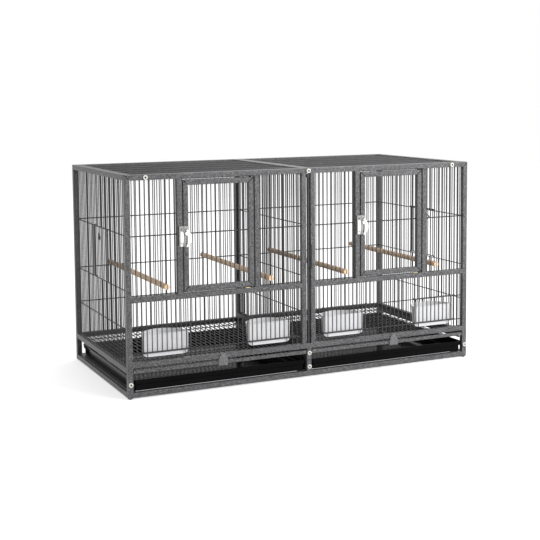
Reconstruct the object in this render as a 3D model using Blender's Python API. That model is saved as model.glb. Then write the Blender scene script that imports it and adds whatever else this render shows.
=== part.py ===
# Bird breeding cage with two compartments side by side, metres, +Z up.
# The origin is on the floor under the middle of the footprint, +X runs to the right along the front,
# and +Y runs from the front to the back.
import math

import bpy
import bmesh
from mathutils import Matrix, Vector

# Overall size
WIDTH = 0.955
DEPTH = 0.455
HEIGHT = 0.530
FOOT_HEIGHT = 0.003
TUBE = 0.013

# Clearances and joints between pieces
GAP = 0.0003
WELD = 0.002
SLIDE_GAP = 0.0015

# Wire grids
WIRE_RADIUS = 0.0012
WIRE_SIDES = 4
WIRE_PITCH = 0.0124
BRAZE = 0.0006
CROSS_WIRE_STEP = 2 * WIRE_RADIUS + GAP
WELDED_STEP = 2 * WIRE_RADIUS - BRAZE

# Levels of the rails and cross wires above the floor
PANEL_RAIL_Z = 0.074
SIDE_RAIL_Z = 0.061
MID_RAIL_Z = 0.229
UPPER_CROSS_Z = 0.385
MIDDLE_CROSS_Z = 0.2536
LOWER_CROSS_Z = 0.1606

# Front: doorways, divider slot and feeder openings
DOORWAY_WIDTH = 0.189
DOOR_GAP = 0.003
SLOT_WIDTH = 0.012
FEEDER_MARGIN_PITCHES = 2
FEEDER_PITCHES = 10
FEEDER_TOP_Z = 0.1697
FEEDER_BOTTOM_Z = 0.105

# Hinge pins and latches of the front doors
PIN_RADIUS = 0.002
PIN_REACH = 0.008
PIN_CLEARANCE = 0.0004
LATCH_Z = 0.386
LATCH_PLATE_WIDTH = 0.0087
LATCH_PLATE_HEIGHT = 0.0495
LATCH_PLATE_DROP = 0.0315
LATCH_PLATE_THICKNESS = 0.0015
LATCH_HUB_RADIUS = 0.0085
LATCH_THICKNESS = 0.005
LATCH_CATCH_THICKNESS = 0.0022
LATCH_BLADE_THICKNESS = 0.0024
LATCH_BLADE_RADIUS = 0.0245
LATCH_BLADE_WAIST = 0.0125
LATCH_BLADE_TIP = 0.0025
LATCH_BLADE_ANGLE = 62
LATCH_BLADE_OFFSET = (-0.012, -0.0115)

# Nest-box doors in the side panels
NEST_OPENING_Y = 0.209
NEST_PITCHES = 10
NEST_RING_Z = 0.378
NEST_RING_STANDOUT = 0.007
NEST_STRIP_WIDTH = 0.013
NEST_STRIP_THICKNESS = 0.0008

# Border bars of the loose grids
BORDER = 0.0036
TOP_BORDER = 0.008

# Divider and its pull loop
DIVIDER_BORDER = 0.004
PULL_REACH = 0.017
PULL_BOTTOM_Z = 0.278
PULL_TOP_Z = 0.341

# Perches
PERCH_RADIUS = 0.00625
PERCH_OVERHANG = 0.010

# Feeder bowls and their wire cradles
BOWL_WIDTH = 0.118
BOWL_DEPTH = 0.060
BOWL_FOOT_WIDTH = 0.093
BOWL_FOOT_DEPTH = 0.039
BOWL_KNEE = 0.0105
BOWL_BOTTOM_Z = 0.0945
BOWL_HEIGHT = 0.0545
BOWL_WALL = 0.0022
BOWL_SEGMENTS = 20
BOWL_SETBACK = 0.0022
CRADLE_BAR_INSET = 0.008
CRADLE_RADIUS = 0.001

# Floor grates, their ledges and tabs
GRATE_HEIGHT = 0.009
GRATE_BAR = 0.003
GRATE_TOP_Z = 0.0697
GRATE_CROSS_COUNT = 9
LEDGE_THICKNESS = 0.0018
LEDGE_WIDTH = 0.010
TAB_WIDTH = 0.0257
TAB_TOP_RADIUS = 0.0075
TAB_BOTTOM_Z = 0.0575
TAB_TOP_Z = 0.088
TAB_THICKNESS = 0.002
TAB_SHIFT = 0.006

# Trays
TRAY_HEIGHT = 0.0275
TRAY_WALL = 0.0025
TRAY_LIP = 0.004
TRAY_SLOPE = 0.003

# Bolts and feet
BOLT_RADIUS = 0.0055
BOLT_HEIGHT = 0.003
BOLT_INSET = 0.0505
CORNER_BOLT_Z = 0.0355
CENTRE_BOLT_LOW_Z = 0.0272
CENTRE_BOLT_HIGH_Z = 0.0625
FOOT_RADIUS = 0.0055

# Levels and places that follow from the values above
PERCH_STANDOUT = PERCH_OVERHANG - TUBE / 2
FRONT_Y = -(DEPTH + PERCH_STANDOUT - PULL_REACH) / 2
BACK_Y = FRONT_Y + DEPTH
FRONT_WIRE_Y = FRONT_Y + TUBE / 2
BACK_WIRE_Y = BACK_Y - TUBE / 2
INSIDE_FRONT_Y = FRONT_Y + TUBE
INSIDE_BACK_Y = BACK_Y - TUBE
HALF_WIDTH = WIDTH / 2
POST_X = HALF_WIDTH - TUBE
SIDE_WIRE_X = HALF_WIDTH - TUBE / 2
STILE_X = SLOT_WIDTH / 2 + TUBE
HALF_CENTRE = (POST_X + STILE_X) / 2
FRAME_BOTTOM = FOOT_HEIGHT
BASE_RAIL_TOP = FRAME_BOTTOM + TUBE
PANEL_RAIL_TOP = PANEL_RAIL_Z + TUBE
SIDE_RAIL_TOP = SIDE_RAIL_Z + TUBE
MID_RAIL_TOP = MID_RAIL_Z + TUBE
TOP_RAIL_Z = HEIGHT - TUBE
DOORWAY_IN = HALF_CENTRE - DOORWAY_WIDTH / 2
DOORWAY_OUT = HALF_CENTRE + DOORWAY_WIDTH / 2
TRAY_BOTTOM_Z = BASE_RAIL_TOP + LEDGE_THICKNESS + GAP
GRATE_BOTTOM_Z = GRATE_TOP_Z - GRATE_HEIGHT
PERCH_Z = MIDDLE_CROSS_Z + WIRE_RADIUS + GAP + PERCH_RADIUS

SIDE_NAMES = {-1: "left", 1: "right"}


def clear_scene():
    for old in list(bpy.data.objects):
        bpy.data.objects.remove(old, do_unlink=True)


def new_collection(name):
    collection = bpy.data.collections.new(name)
    bpy.context.scene.collection.children.link(collection)
    return collection


def new_material(name, colour, roughness, metallic):
    material = bpy.data.materials.new(name)
    material.use_nodes = True
    shader = material.node_tree.nodes["Principled BSDF"]
    shader.inputs["Base Color"].default_value = (*colour, 1.0)
    shader.inputs["Roughness"].default_value = roughness
    shader.inputs["Metallic"].default_value = metallic
    return material


clear_scene()
cage = new_collection("bird_breeding_cage")
cutters = new_collection("cutters")

hammertone = new_material("hammertone_enamel", (0.16, 0.16, 0.165), 0.45, 0.4)
wire_enamel = new_material("wire_enamel", (0.09, 0.09, 0.095), 0.45, 0.4)
zinc = new_material("bright_zinc", (0.72, 0.71, 0.68), 0.3, 1.0)
white_plastic = new_material("white_plastic", (0.86, 0.86, 0.88), 0.35, 0.0)
black_plastic = new_material("black_plastic", (0.012, 0.012, 0.013), 0.2, 0.0)
wood = new_material("beech_dowel", (0.62, 0.42, 0.26), 0.6, 0.0)
rubber = new_material("rubber_foot", (0.03, 0.03, 0.03), 0.8, 0.0)


def mesh_from(bm, name):
    bmesh.ops.recalc_face_normals(bm, faces=bm.faces)
    mesh = bpy.data.meshes.new(name)
    bm.to_mesh(mesh)
    bm.free()
    return mesh


def add_box(bm, x, y, z):
    """One box into a bmesh, from three pairs of limits in any order."""
    centre = Vector(((x[0] + x[1]) / 2, (y[0] + y[1]) / 2, (z[0] + z[1]) / 2))
    size = (abs(x[1] - x[0]), abs(y[1] - y[0]), abs(z[1] - z[0]))
    bmesh.ops.create_cube(bm, size=1.0, matrix=Matrix.Translation(centre) @ Matrix.Diagonal((*size, 1.0)))


def add_wire(bm, start, end, radius=WIRE_RADIUS):
    """A straight wire of few sides, with an edge of its section facing each neighbour."""
    start = Vector(start)
    end = Vector(end)
    run = end - start
    turn = run.to_track_quat("Z", "Y").to_matrix().to_4x4()
    place = Matrix.Translation((start + end) / 2) @ turn
    bmesh.ops.create_cone(
        bm, cap_ends=True, segments=WIRE_SIDES, radius1=radius, radius2=radius, depth=run.length, matrix=place
    )


def boxes(*limits):
    bm = bmesh.new()
    for x, y, z in limits:
        add_box(bm, x, y, z)
    return mesh_from(bm, "boxes")


def wires(runs, radius=WIRE_RADIUS):
    bm = bmesh.new()
    for start, end in runs:
        add_wire(bm, start, end, radius)
    return mesh_from(bm, "wires")


def welded_copy(source):
    """The evaluated mesh of a curve object with its loose caps welded, and the curve removed."""
    evaluated = source.evaluated_get(bpy.context.evaluated_depsgraph_get())
    mesh = bpy.data.meshes.new_from_object(evaluated)
    mesh.transform(source.matrix_world)
    bpy.data.objects.remove(source, do_unlink=True)
    bm = bmesh.new()
    bm.from_mesh(mesh)
    bmesh.ops.remove_doubles(bm, verts=bm.verts, dist=1e-5)
    bpy.data.meshes.remove(mesh)
    return mesh_from(bm, "curve")


def plate(outlines, thickness, centre, upright=True):
    """A flat plate cut to closed outlines, the first one outside and the rest holes.

    Upright plates have their outline in X and Z; the others have it in X and Y.
    """
    curve = bpy.data.curves.new("outline", "CURVE")
    curve.dimensions = "2D"
    curve.fill_mode = "BOTH"
    curve.extrude = thickness / 2
    for outline in outlines:
        spline = curve.splines.new("POLY")
        spline.points.add(len(outline) - 1)
        for point, (across, up) in zip(spline.points, outline):
            point.co = (across, up, 0.0, 1.0)
        spline.use_cyclic_u = True
    holder = bpy.data.objects.new("outline", curve)
    cutters.objects.link(holder)
    holder.location = centre
    if upright:
        holder.rotation_euler = (math.pi / 2, 0.0, 0.0)
    bpy.context.view_layer.update()
    return welded_copy(holder)


def bent_wire(points, radius=WIRE_RADIUS):
    """A wire along a path, as a bevelled curve with filled caps."""
    curve = bpy.data.curves.new("path", "CURVE")
    curve.dimensions = "3D"
    curve.bevel_depth = radius
    curve.bevel_resolution = 0
    curve.render_resolution_u = 0
    curve.use_fill_caps = True
    spline = curve.splines.new("POLY")
    spline.points.add(len(points) - 1)
    for point, place in zip(spline.points, points):
        point.co = (*place, 1.0)
    holder = bpy.data.objects.new("path", curve)
    cutters.objects.link(holder)
    bpy.context.view_layer.update()
    return welded_copy(holder)


def rectangle(x0, x1, z0, z1):
    low = min(x0, x1)
    high = max(x0, x1)
    return [(low, z0), (high, z0), (high, z1), (low, z1)]


def arc(centre, radius, start, end, count):
    """Points on an arc, with angles in degrees."""
    points = []
    for step in range(count):
        angle = math.radians(start + (end - start) * step / (count - 1))
        points.append((centre[0] + radius * math.cos(angle), centre[1] + radius * math.sin(angle)))
    return points


def combine(base, tools, operation="UNION"):
    """Joins each tool mesh to the base mesh, or cuts it out, and returns one mesh."""
    body = bpy.data.objects.new("body", base)
    cutters.objects.link(body)
    for tool in tools:
        helper = bpy.data.objects.new("tool", tool)
        cutters.objects.link(helper)
        modifier = body.modifiers.new("combine", "BOOLEAN")
        modifier.operation = operation
        modifier.solver = "EXACT"
        modifier.object = helper
        bpy.context.view_layer.update()
        evaluated = body.evaluated_get(bpy.context.evaluated_depsgraph_get())
        result = bpy.data.meshes.new_from_object(evaluated)
        body.modifiers.clear()
        body.data = result
        bpy.data.objects.remove(helper, do_unlink=True)
    mesh = body.data
    bpy.data.objects.remove(body, do_unlink=True)
    return mesh


def windowed_slab(x, y, z, windows):
    """An upright slab with rectangular windows cut through it from front to back."""
    through = (y[0] - WELD, y[1] + WELD)
    openings = boxes(*[((left, right), through, (low, high)) for left, right, low, high in windows])
    return combine(boxes((x, y, z)), [openings], "DIFFERENCE")


def add_part(name, mesh, material, origin=(0.0, 0.0, 0.0), parent=None):
    """A finished node, with its origin at the given place in the world."""
    origin = Vector(origin)
    mesh.transform(Matrix.Translation(-origin))
    mesh.name = name
    mesh.materials.clear()
    mesh.materials.append(material)
    part = bpy.data.objects.new(name, mesh)
    cage.objects.link(part)
    part.location = origin
    if parent is not None:
        part.parent = parent
        part.location = origin - parent.location
    return part


def lattice(start, end):
    """Evenly spaced wire positions between two members, about one pitch apart."""
    gaps = max(2, round(abs(end - start) / WIRE_PITCH))
    step = (end - start) / gaps
    return [start + step * count for count in range(1, gaps)], abs(step)


def between(positions, low, high):
    margin = 2 * WIRE_RADIUS
    return [place for place in positions if low + margin < place < high - margin]


def nearest(positions, wanted):
    return min(range(len(positions)), key=lambda count: abs(positions[count] - wanted))


# Wires stand on one lattice in each half, counted from the post inwards, at the front and at the back.
HALF_LATTICE, HALF_STEP = lattice(POST_X, STILE_X)
BACK_LATTICE = HALF_LATTICE + [HALF_LATTICE[-1] - HALF_STEP]
SIDE_LATTICE, SIDE_STEP = lattice(INSIDE_FRONT_Y, INSIDE_BACK_Y)


def feeder_span(count):
    """The two guide wires of a feeder opening that starts some pitches from the post."""
    return HALF_LATTICE[count + FEEDER_PITCHES - 1], HALF_LATTICE[count - 1]


FEEDERS = {
    "inner": feeder_span(len(HALF_LATTICE) + 1 - FEEDER_MARGIN_PITCHES - FEEDER_PITCHES),
    "outer": feeder_span(FEEDER_MARGIN_PITCHES),
}


def build_front_frame():
    """All front tubes welded into one frame, with the bores of the door pins."""
    windows = [(-SLOT_WIDTH / 2, SLOT_WIDTH / 2, PANEL_RAIL_TOP, TOP_RAIL_Z)]
    for side in (-1, 1):
        windows.append((side * STILE_X, side * (DOORWAY_IN - TUBE), MID_RAIL_TOP, TOP_RAIL_Z))
        windows.append((side * DOORWAY_IN, side * DOORWAY_OUT, MID_RAIL_TOP, TOP_RAIL_Z))
        windows.append((side * (DOORWAY_OUT + TUBE), side * POST_X, MID_RAIL_TOP, TOP_RAIL_Z))
        windows.append((side * STILE_X, side * POST_X, PANEL_RAIL_TOP, MID_RAIL_Z))
        windows.append((side * TUBE / 2, side * POST_X, BASE_RAIL_TOP, PANEL_RAIL_Z))
    frame = windowed_slab(
        (-HALF_WIDTH, HALF_WIDTH), (FRONT_Y, INSIDE_FRONT_Y), (FRAME_BOTTOM, HEIGHT), windows
    )
    bores = bmesh.new()
    for centre in (-HALF_CENTRE, HALF_CENTRE):
        x = hinge_x(centre)
        for low, high in (
            (MID_RAIL_TOP - PIN_REACH, MID_RAIL_TOP + DOOR_GAP / 2),
            (TOP_RAIL_Z - DOOR_GAP / 2, TOP_RAIL_Z + PIN_REACH),
        ):
            place = Matrix.Translation((x, FRONT_WIRE_Y, (low + high) / 2))
            bmesh.ops.create_cone(
                bores,
                cap_ends=True,
                segments=8,
                radius1=PIN_RADIUS + PIN_CLEARANCE,
                radius2=PIN_RADIUS + PIN_CLEARANCE,
                depth=high - low,
                matrix=place,
            )
    frame = combine(frame, [mesh_from(bores, "bores")], "DIFFERENCE")
    add_part("front_frame", frame, hammertone)


def hinge_x(centre):
    """The pivot line of a door runs up the middle of its right-hand tube."""
    return centre + DOORWAY_WIDTH / 2 - DOOR_GAP - TUBE / 2


def build_upper_grilles():
    sections = {
        "inner": (STILE_X, DOORWAY_IN - TUBE),
        "outer": (DOORWAY_OUT + TUBE, POST_X),
    }
    cross_y = FRONT_WIRE_Y + WELDED_STEP
    for side in (-1, 1):
        for place, (low, high) in sections.items():
            uprights = []
            for x in between(HALF_LATTICE, low, high):
                start = (side * x, FRONT_WIRE_Y, MID_RAIL_TOP + GAP)
                uprights.append((start, (side * x, FRONT_WIRE_Y, TOP_RAIL_Z - GAP)))
            start = (side * (low + GAP), cross_y, UPPER_CROSS_Z)
            cross = wires([(start, (side * (high - GAP), cross_y, UPPER_CROSS_Z))])
            grille = combine(cross, [wires(uprights)])
            add_part(f"{SIDE_NAMES[side]}_{place}_grille", grille, wire_enamel)


def build_lower_grilles():
    """Uprights from rail to rail, stopped above the feeder openings, and the cradles of the bowls."""
    cross_y = FRONT_WIRE_Y + WELDED_STEP
    for side in (-1, 1):
        uprights = []
        for x in HALF_LATTICE:
            over_opening = any(near < x < far for near, far in FEEDERS.values())
            foot = FEEDER_TOP_Z - WIRE_RADIUS if over_opening else PANEL_RAIL_TOP + GAP
            uprights.append(((side * x, FRONT_WIRE_Y, foot), (side * x, FRONT_WIRE_Y, MID_RAIL_Z - GAP)))
        crosses = []
        for level in (FEEDER_TOP_Z, FEEDER_BOTTOM_Z):
            ends = (side * (STILE_X + GAP), side * (POST_X - GAP))
            crosses.append(((ends[0], cross_y, level), (ends[1], cross_y, level)))
        tools = [wires(uprights)]
        for near, far in FEEDERS.values():
            tools.append(bowl_cradle(side * (near + far) / 2, cross_y + GAP))
        grille = combine(wires(crosses), tools)
        add_part(f"{SIDE_NAMES[side]}_lower_grille", grille, wire_enamel)


def bowl_cradle(x, cross_y):
    """A wire bent down from the sill and round under the bowl, and a bar under the bowl's front."""
    reach = BOWL_FOOT_WIDTH / 2 + CRADLE_RADIUS
    level = BOWL_BOTTOM_Z - GAP - CRADLE_RADIUS
    front = bowl_front_y() + CRADLE_BAR_INSET
    back = bowl_front_y() + BOWL_FOOT_DEPTH - CRADLE_BAR_INSET
    points = [
        (x - reach, cross_y, FEEDER_BOTTOM_Z),
        (x - reach, cross_y, level),
        (x - reach, back, level),
        (x + reach, back, level),
        (x + reach, cross_y, level),
        (x + reach, cross_y, FEEDER_BOTTOM_Z),
    ]
    bar = wires([((x - reach, front, level), (x + reach, front, level))], CRADLE_RADIUS)
    return combine(bent_wire(points, CRADLE_RADIUS), [bar])


def build_back_panel():
    windows = []
    for side in (-1, 1):
        windows.append((side * TUBE / 2, side * POST_X, SIDE_RAIL_TOP, TOP_RAIL_Z))
        windows.append((side * TUBE / 2, side * POST_X, BASE_RAIL_TOP, SIDE_RAIL_Z))
    frame = windowed_slab((-HALF_WIDTH, HALF_WIDTH), (INSIDE_BACK_Y, BACK_Y), (FRAME_BOTTOM, HEIGHT), windows)
    uprights = []
    crosses = []
    cross_y = BACK_WIRE_Y - CROSS_WIRE_STEP
    for side in (-1, 1):
        for x in BACK_LATTICE:
            start = (side * x, BACK_WIRE_Y, SIDE_RAIL_TOP - WELD)
            uprights.append((start, (side * x, BACK_WIRE_Y, TOP_RAIL_Z + WELD)))
        for level in (LOWER_CROSS_Z, MIDDLE_CROSS_Z, UPPER_CROSS_Z):
            start = (side * (TUBE / 2 - WELD), cross_y, level)
            crosses.append((start, (side * (POST_X + WELD), cross_y, level)))
    panel = combine(frame, [wires(uprights), wires(crosses)])
    add_part("back_panel", panel, hammertone)


def nest_span():
    middle = nearest(SIDE_LATTICE, FRONT_Y + NEST_OPENING_Y)
    return SIDE_LATTICE[middle - NEST_PITCHES // 2], SIDE_LATTICE[middle + NEST_PITCHES // 2]


def build_side_panel(side):
    """Rails, end bars and wires, with the nest-box opening and the hangers of the grate ledge."""
    front = INSIDE_FRONT_Y + GAP
    back = INSIDE_BACK_Y - GAP
    rails = boxes(
        ((side * POST_X, side * HALF_WIDTH), (front, back), (TOP_RAIL_Z, HEIGHT)),
        ((side * POST_X, side * HALF_WIDTH), (front, back), (SIDE_RAIL_Z, SIDE_RAIL_TOP)),
    )
    inner = SIDE_WIRE_X - CROSS_WIRE_STEP - WIRE_RADIUS
    outer = SIDE_WIRE_X + WIRE_RADIUS
    end_span = (SIDE_RAIL_TOP - WELD, TOP_RAIL_Z + WELD)
    end_bars = boxes(
        ((side * inner, side * outer), (front, front + BORDER), end_span),
        ((side * inner, side * outer), (back - BORDER, back), end_span),
    )
    near, far = nest_span()
    uprights = []
    for y in SIDE_LATTICE:
        spans = [end_span]
        if near < y < far:
            spans = [(SIDE_RAIL_TOP - WELD, MIDDLE_CROSS_Z), (UPPER_CROSS_Z, TOP_RAIL_Z + WELD)]
        for low, high in spans:
            uprights.append(((side * SIDE_WIRE_X, y, low), (side * SIDE_WIRE_X, y, high)))
    opening_bars = boxes(
        *[
            (
                (side * (SIDE_WIRE_X - WIRE_RADIUS), side * (SIDE_WIRE_X + WIRE_RADIUS)),
                (near - WIRE_RADIUS / 2, far + WIRE_RADIUS / 2),
                (level - WIRE_RADIUS, level + WIRE_RADIUS),
            )
            for level in (MIDDLE_CROSS_Z, UPPER_CROSS_Z)
        ]
    )
    cross_x = side * (SIDE_WIRE_X - CROSS_WIRE_STEP)
    crosses = []
    for level in (LOWER_CROSS_Z, MIDDLE_CROSS_Z, UPPER_CROSS_Z):
        crosses.append(((cross_x, front + WIRE_RADIUS, level), (cross_x, back - WIRE_RADIUS, level)))
    panel = combine(rails, [end_bars, wires(uprights), opening_bars, wires(crosses), grate_ledge(side)])
    add_part(f"{SIDE_NAMES[side]}_side_panel", panel, hammertone)


def grate_ledge(side):
    """An angle strip hung under the bottom rail, which the grate slides on."""
    web_x = POST_X + GAP
    ledge_top = GRATE_BOTTOM_Z - GAP
    front = INSIDE_FRONT_Y + SLIDE_GAP
    back = INSIDE_BACK_Y - SLIDE_GAP
    ledge = boxes(
        (
            (side * (POST_X - LEDGE_WIDTH), side * (web_x + LEDGE_THICKNESS)),
            (front, back),
            (ledge_top - LEDGE_THICKNESS, ledge_top),
        )
    )
    web = boxes(
        (
            (side * web_x, side * (web_x + LEDGE_THICKNESS * 0.8)),
            (front + SLIDE_GAP, back - SLIDE_GAP),
            (ledge_top - LEDGE_THICKNESS / 2, SIDE_RAIL_Z + WELD),
        )
    )
    return combine(ledge, [web])


def build_top():
    """A centre rail from front to back and a wire panel on each side of it."""
    front = INSIDE_FRONT_Y + GAP
    back = INSIDE_BACK_Y - GAP
    rail = boxes(((-TUBE / 2, TUBE / 2), (front, back), (TOP_RAIL_Z, HEIGHT)))
    add_part("top_centre_rail", rail, hammertone)
    level = HEIGHT - TOP_BORDER / 2
    rows, _ = lattice(front + TOP_BORDER, back - TOP_BORDER)
    for side in (-1, 1):
        near = TUBE / 2 + GAP
        far = POST_X - GAP
        outline = rectangle(side * near, side * far, front, back)
        window = rectangle(
            side * (near + TOP_BORDER), side * (far - TOP_BORDER), front + TOP_BORDER, back - TOP_BORDER
        )
        border = plate([outline, window], TOP_BORDER, (0.0, 0.0, level), upright=False)
        lengthwise = []
        for y in rows:
            start = (side * (near + TOP_BORDER - WELD), y, level)
            lengthwise.append((start, (side * (far - TOP_BORDER + WELD), y, level)))
        crosses = []
        for share in (1 / 3, 2 / 3):
            x = side * (near + (far - near) * share)
            under = level - CROSS_WIRE_STEP
            crosses.append(((x, front + TOP_BORDER - WELD, under), (x, back - TOP_BORDER + WELD, under)))
        panel = combine(border, [wires(lengthwise), wires(crosses)])
        add_part(f"{SIDE_NAMES[side]}_top_panel", panel, wire_enamel)


def build_base():
    """Side rails and a centre runner that carry the trays and the grates."""
    front = INSIDE_FRONT_Y + GAP
    back = INSIDE_BACK_Y - GAP
    ledge_z = (BASE_RAIL_TOP - LEDGE_THICKNESS, BASE_RAIL_TOP + LEDGE_THICKNESS)
    for side in (-1, 1):
        rail = boxes(((side * POST_X, side * HALF_WIDTH), (front, back), (FRAME_BOTTOM, BASE_RAIL_TOP)))
        ledge = boxes(
            (
                (side * (POST_X - LEDGE_WIDTH), side * (POST_X + TUBE / 2)),
                (front + SLIDE_GAP, back - SLIDE_GAP),
                ledge_z,
            )
        )
        add_part(f"{SIDE_NAMES[side]}_base_rail", combine(rail, [ledge]), hammertone)
    reach = TUBE / 2 + LEDGE_WIDTH
    flange_top = GRATE_BOTTOM_Z - GAP
    tubes = boxes(
        ((-TUBE / 2, TUBE / 2), (front, back), (FRAME_BOTTOM, BASE_RAIL_TOP)),
        ((-TUBE / 2, TUBE / 2), (front, back), (PANEL_RAIL_Z, PANEL_RAIL_TOP)),
    )
    web = boxes(
        (
            (-LEDGE_THICKNESS / 2, LEDGE_THICKNESS / 2),
            (front + SLIDE_GAP, back - SLIDE_GAP),
            (BASE_RAIL_TOP - WELD, PANEL_RAIL_Z + WELD),
        )
    )
    flanges = boxes(
        ((-reach, reach), (front + WELD, back - WELD), ledge_z),
        ((-reach, reach), (front + WELD, back - WELD), (flange_top - LEDGE_THICKNESS, flange_top)),
    )
    add_part("centre_runner", combine(tubes, [web, flanges]), hammertone)


def build_door(centre, name):
    """A hinged door: square-tube border, uprights, one cross wire and its two pivot pins."""
    half = DOORWAY_WIDTH / 2 - DOOR_GAP
    low = MID_RAIL_TOP + DOOR_GAP
    high = TOP_RAIL_Z - DOOR_GAP
    outline = rectangle(centre - half, centre + half, low, high)
    window = rectangle(centre - half + TUBE, centre + half - TUBE, low + TUBE, high - TUBE)
    border = plate([outline, window], TUBE, (0.0, FRONT_WIRE_Y, 0.0))
    columns, _ = lattice(centre - half + TUBE, centre + half - TUBE)
    uprights = []
    for x in columns:
        start = (x, FRONT_WIRE_Y, low + TUBE - WELD)
        uprights.append((start, (x, FRONT_WIRE_Y, high - TUBE + WELD)))
    cross_y = FRONT_WIRE_Y + CROSS_WIRE_STEP
    cross = [
        (
            (centre - half + TUBE - WELD, cross_y, UPPER_CROSS_Z),
            (centre + half - TUBE + WELD, cross_y, UPPER_CROSS_Z),
        )
    ]
    pivot = hinge_x(centre)
    pins = bmesh.new()
    for start, end in (
        (MID_RAIL_TOP - PIN_REACH + 2 * PIN_CLEARANCE, low + WELD),
        (high - WELD, TOP_RAIL_Z + PIN_REACH - 2 * PIN_CLEARANCE),
    ):
        bmesh.ops.create_cone(
            pins,
            cap_ends=True,
            segments=8,
            radius1=PIN_RADIUS,
            radius2=PIN_RADIUS,
            depth=end - start,
            matrix=Matrix.Translation((pivot, FRONT_WIRE_Y, (start + end) / 2)),
        )
    door = combine(border, [wires(uprights), wires(cross), mesh_from(pins, "pins")])
    return add_part(f"{name}_door", door, hammertone, origin=(pivot, FRONT_WIRE_Y, low))


def build_latch(centre, name, door):
    """A keeper with a catch on the stile, a plate on the door beside it, and a curved lever over that."""
    stile_edge = centre - DOORWAY_WIDTH / 2
    door_edge = stile_edge + DOOR_GAP
    pivot = (door_edge + TUBE / 2, LATCH_Z)
    face = FRONT_Y - GAP
    plate_z = (LATCH_Z - LATCH_PLATE_DROP, LATCH_Z - LATCH_PLATE_DROP + LATCH_PLATE_HEIGHT)
    plate_y = (face - LATCH_PLATE_THICKNESS, face)
    keeper = boxes(((stile_edge - LATCH_PLATE_WIDTH, door_edge - GAP), plate_y, plate_z))
    catch = boxes(
        (
            (stile_edge - LATCH_PLATE_WIDTH + WELD, door_edge - GAP - WELD),
            (face - LATCH_CATCH_THICKNESS, face - LATCH_PLATE_THICKNESS / 2),
            (LATCH_Z - LATCH_HUB_RADIUS, LATCH_Z + LATCH_HUB_RADIUS),
        )
    )
    add_part(f"{name}_latch_keeper", combine(keeper, [catch]), zinc)
    door_plate = boxes(((door_edge + GAP, door_edge + TUBE - GAP), plate_y, plate_z))
    add_part(f"{name}_latch_plate", door_plate, zinc, origin=(pivot[0], face, pivot[1]), parent=door)
    hub_depth = LATCH_THICKNESS - LATCH_PLATE_THICKNESS - GAP
    hub_y = face - LATCH_THICKNESS + hub_depth / 2
    hub = plate([arc(pivot, LATCH_HUB_RADIUS, 0, 330, 12)], hub_depth, (0.0, hub_y, 0.0))
    blade_y = face - LATCH_THICKNESS + LATCH_BLADE_THICKNESS / 2 + GAP
    blade = plate([crescent(pivot, 7)], LATCH_BLADE_THICKNESS, (0.0, blade_y, 0.0))
    lever = combine(hub, [blade])
    origin = (pivot[0], hub_y, pivot[1])
    add_part(f"{name}_latch_lever", lever, zinc, origin=origin, parent=door)


def crescent(pivot, count):
    """A blade between two arcs, widest in the middle and narrow at its tips."""
    centre = (pivot[0] + LATCH_BLADE_OFFSET[0], pivot[1] + LATCH_BLADE_OFFSET[1])
    outside = arc(centre, LATCH_BLADE_RADIUS, -LATCH_BLADE_ANGLE, LATCH_BLADE_ANGLE, count)
    inside = []
    for step, (across, up) in enumerate(reversed(outside)):
        swell = math.sin(math.pi * step / (count - 1))
        width = LATCH_BLADE_TIP + (LATCH_BLADE_WAIST - LATCH_BLADE_TIP) * swell
        share = 1 - width / LATCH_BLADE_RADIUS
        inside.append((centre[0] + (across - centre[0]) * share, centre[1] + (up - centre[1]) * share))
    return outside + inside


def loop_outline(inner, outer):
    """A hook in plan, open to one side, that goes round a guide wire at (0, 0)."""
    room = WIRE_RADIUS + GAP
    metal = WIRE_RADIUS
    return [
        (inner, -room - metal),
        (outer, -room - metal),
        (outer, room + metal),
        (-room, room + metal),
        (-room, room),
        (room, room),
        (room, -room),
        (inner, -room),
    ]


def sliding_grid(guides, low, high, columns, hooks_at):
    """A wire grid that slides on two guide wires, laid out in plan with its outside at -Y.

    The border runs inside the guides, and a hook at each corner goes round a guide.
    """
    room = WIRE_RADIUS + GAP
    border_in = (guides[0] + room + BORDER, guides[1] - room - BORDER)
    border_out = (guides[0] + room, guides[1] - room)
    back = -room
    front = back - BORDER
    outline = rectangle(border_out[0], border_out[1], low, high)
    window = rectangle(border_in[0], border_in[1], low + BORDER, high - BORDER)
    border = plate([outline, window], BORDER, (0.0, (front + back) / 2, 0.0))
    uprights = []
    for x in columns:
        middle = (front + back) / 2
        uprights.append(((x, middle, low + BORDER / 2), (x, middle, high - BORDER / 2)))
    hooks = []
    for guide, turn in ((guides[0], -1), (guides[1], 1)):
        for level in hooks_at:
            outline = [
                (guide + turn * across, along)
                for across, along in loop_outline(-room - BORDER / 2, room + WIRE_RADIUS)
            ]
            hooks.append(plate([outline], 2 * WIRE_RADIUS, (0.0, 0.0, level), upright=False))
    return combine(border, [wires(uprights), *hooks])


def build_feeder_doors():
    low = FEEDER_BOTTOM_Z + WIRE_RADIUS + GAP
    high = FEEDER_TOP_Z + 3 * WIRE_RADIUS + GAP
    hooks_at = (low + WIRE_RADIUS, high - WIRE_RADIUS)
    for side in (-1, 1):
        for place, (near, far) in FEEDERS.items():
            guides = sorted((side * near, side * far))
            columns = [side * x for x in HALF_LATTICE if near < x < far]
            grid = sliding_grid(guides, low, high, columns, hooks_at)
            grid.transform(Matrix.Translation((0.0, FRONT_WIRE_Y, 0.0)))
            middle = (guides[0] + guides[1]) / 2
            name = f"{SIDE_NAMES[side]}_{place}_feeder_door"
            add_part(name, grid, wire_enamel, origin=(middle, FRONT_WIRE_Y, low))


def bowl_front_y():
    return FRONT_WIRE_Y + WELDED_STEP + WIRE_RADIUS + BOWL_SETBACK


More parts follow.
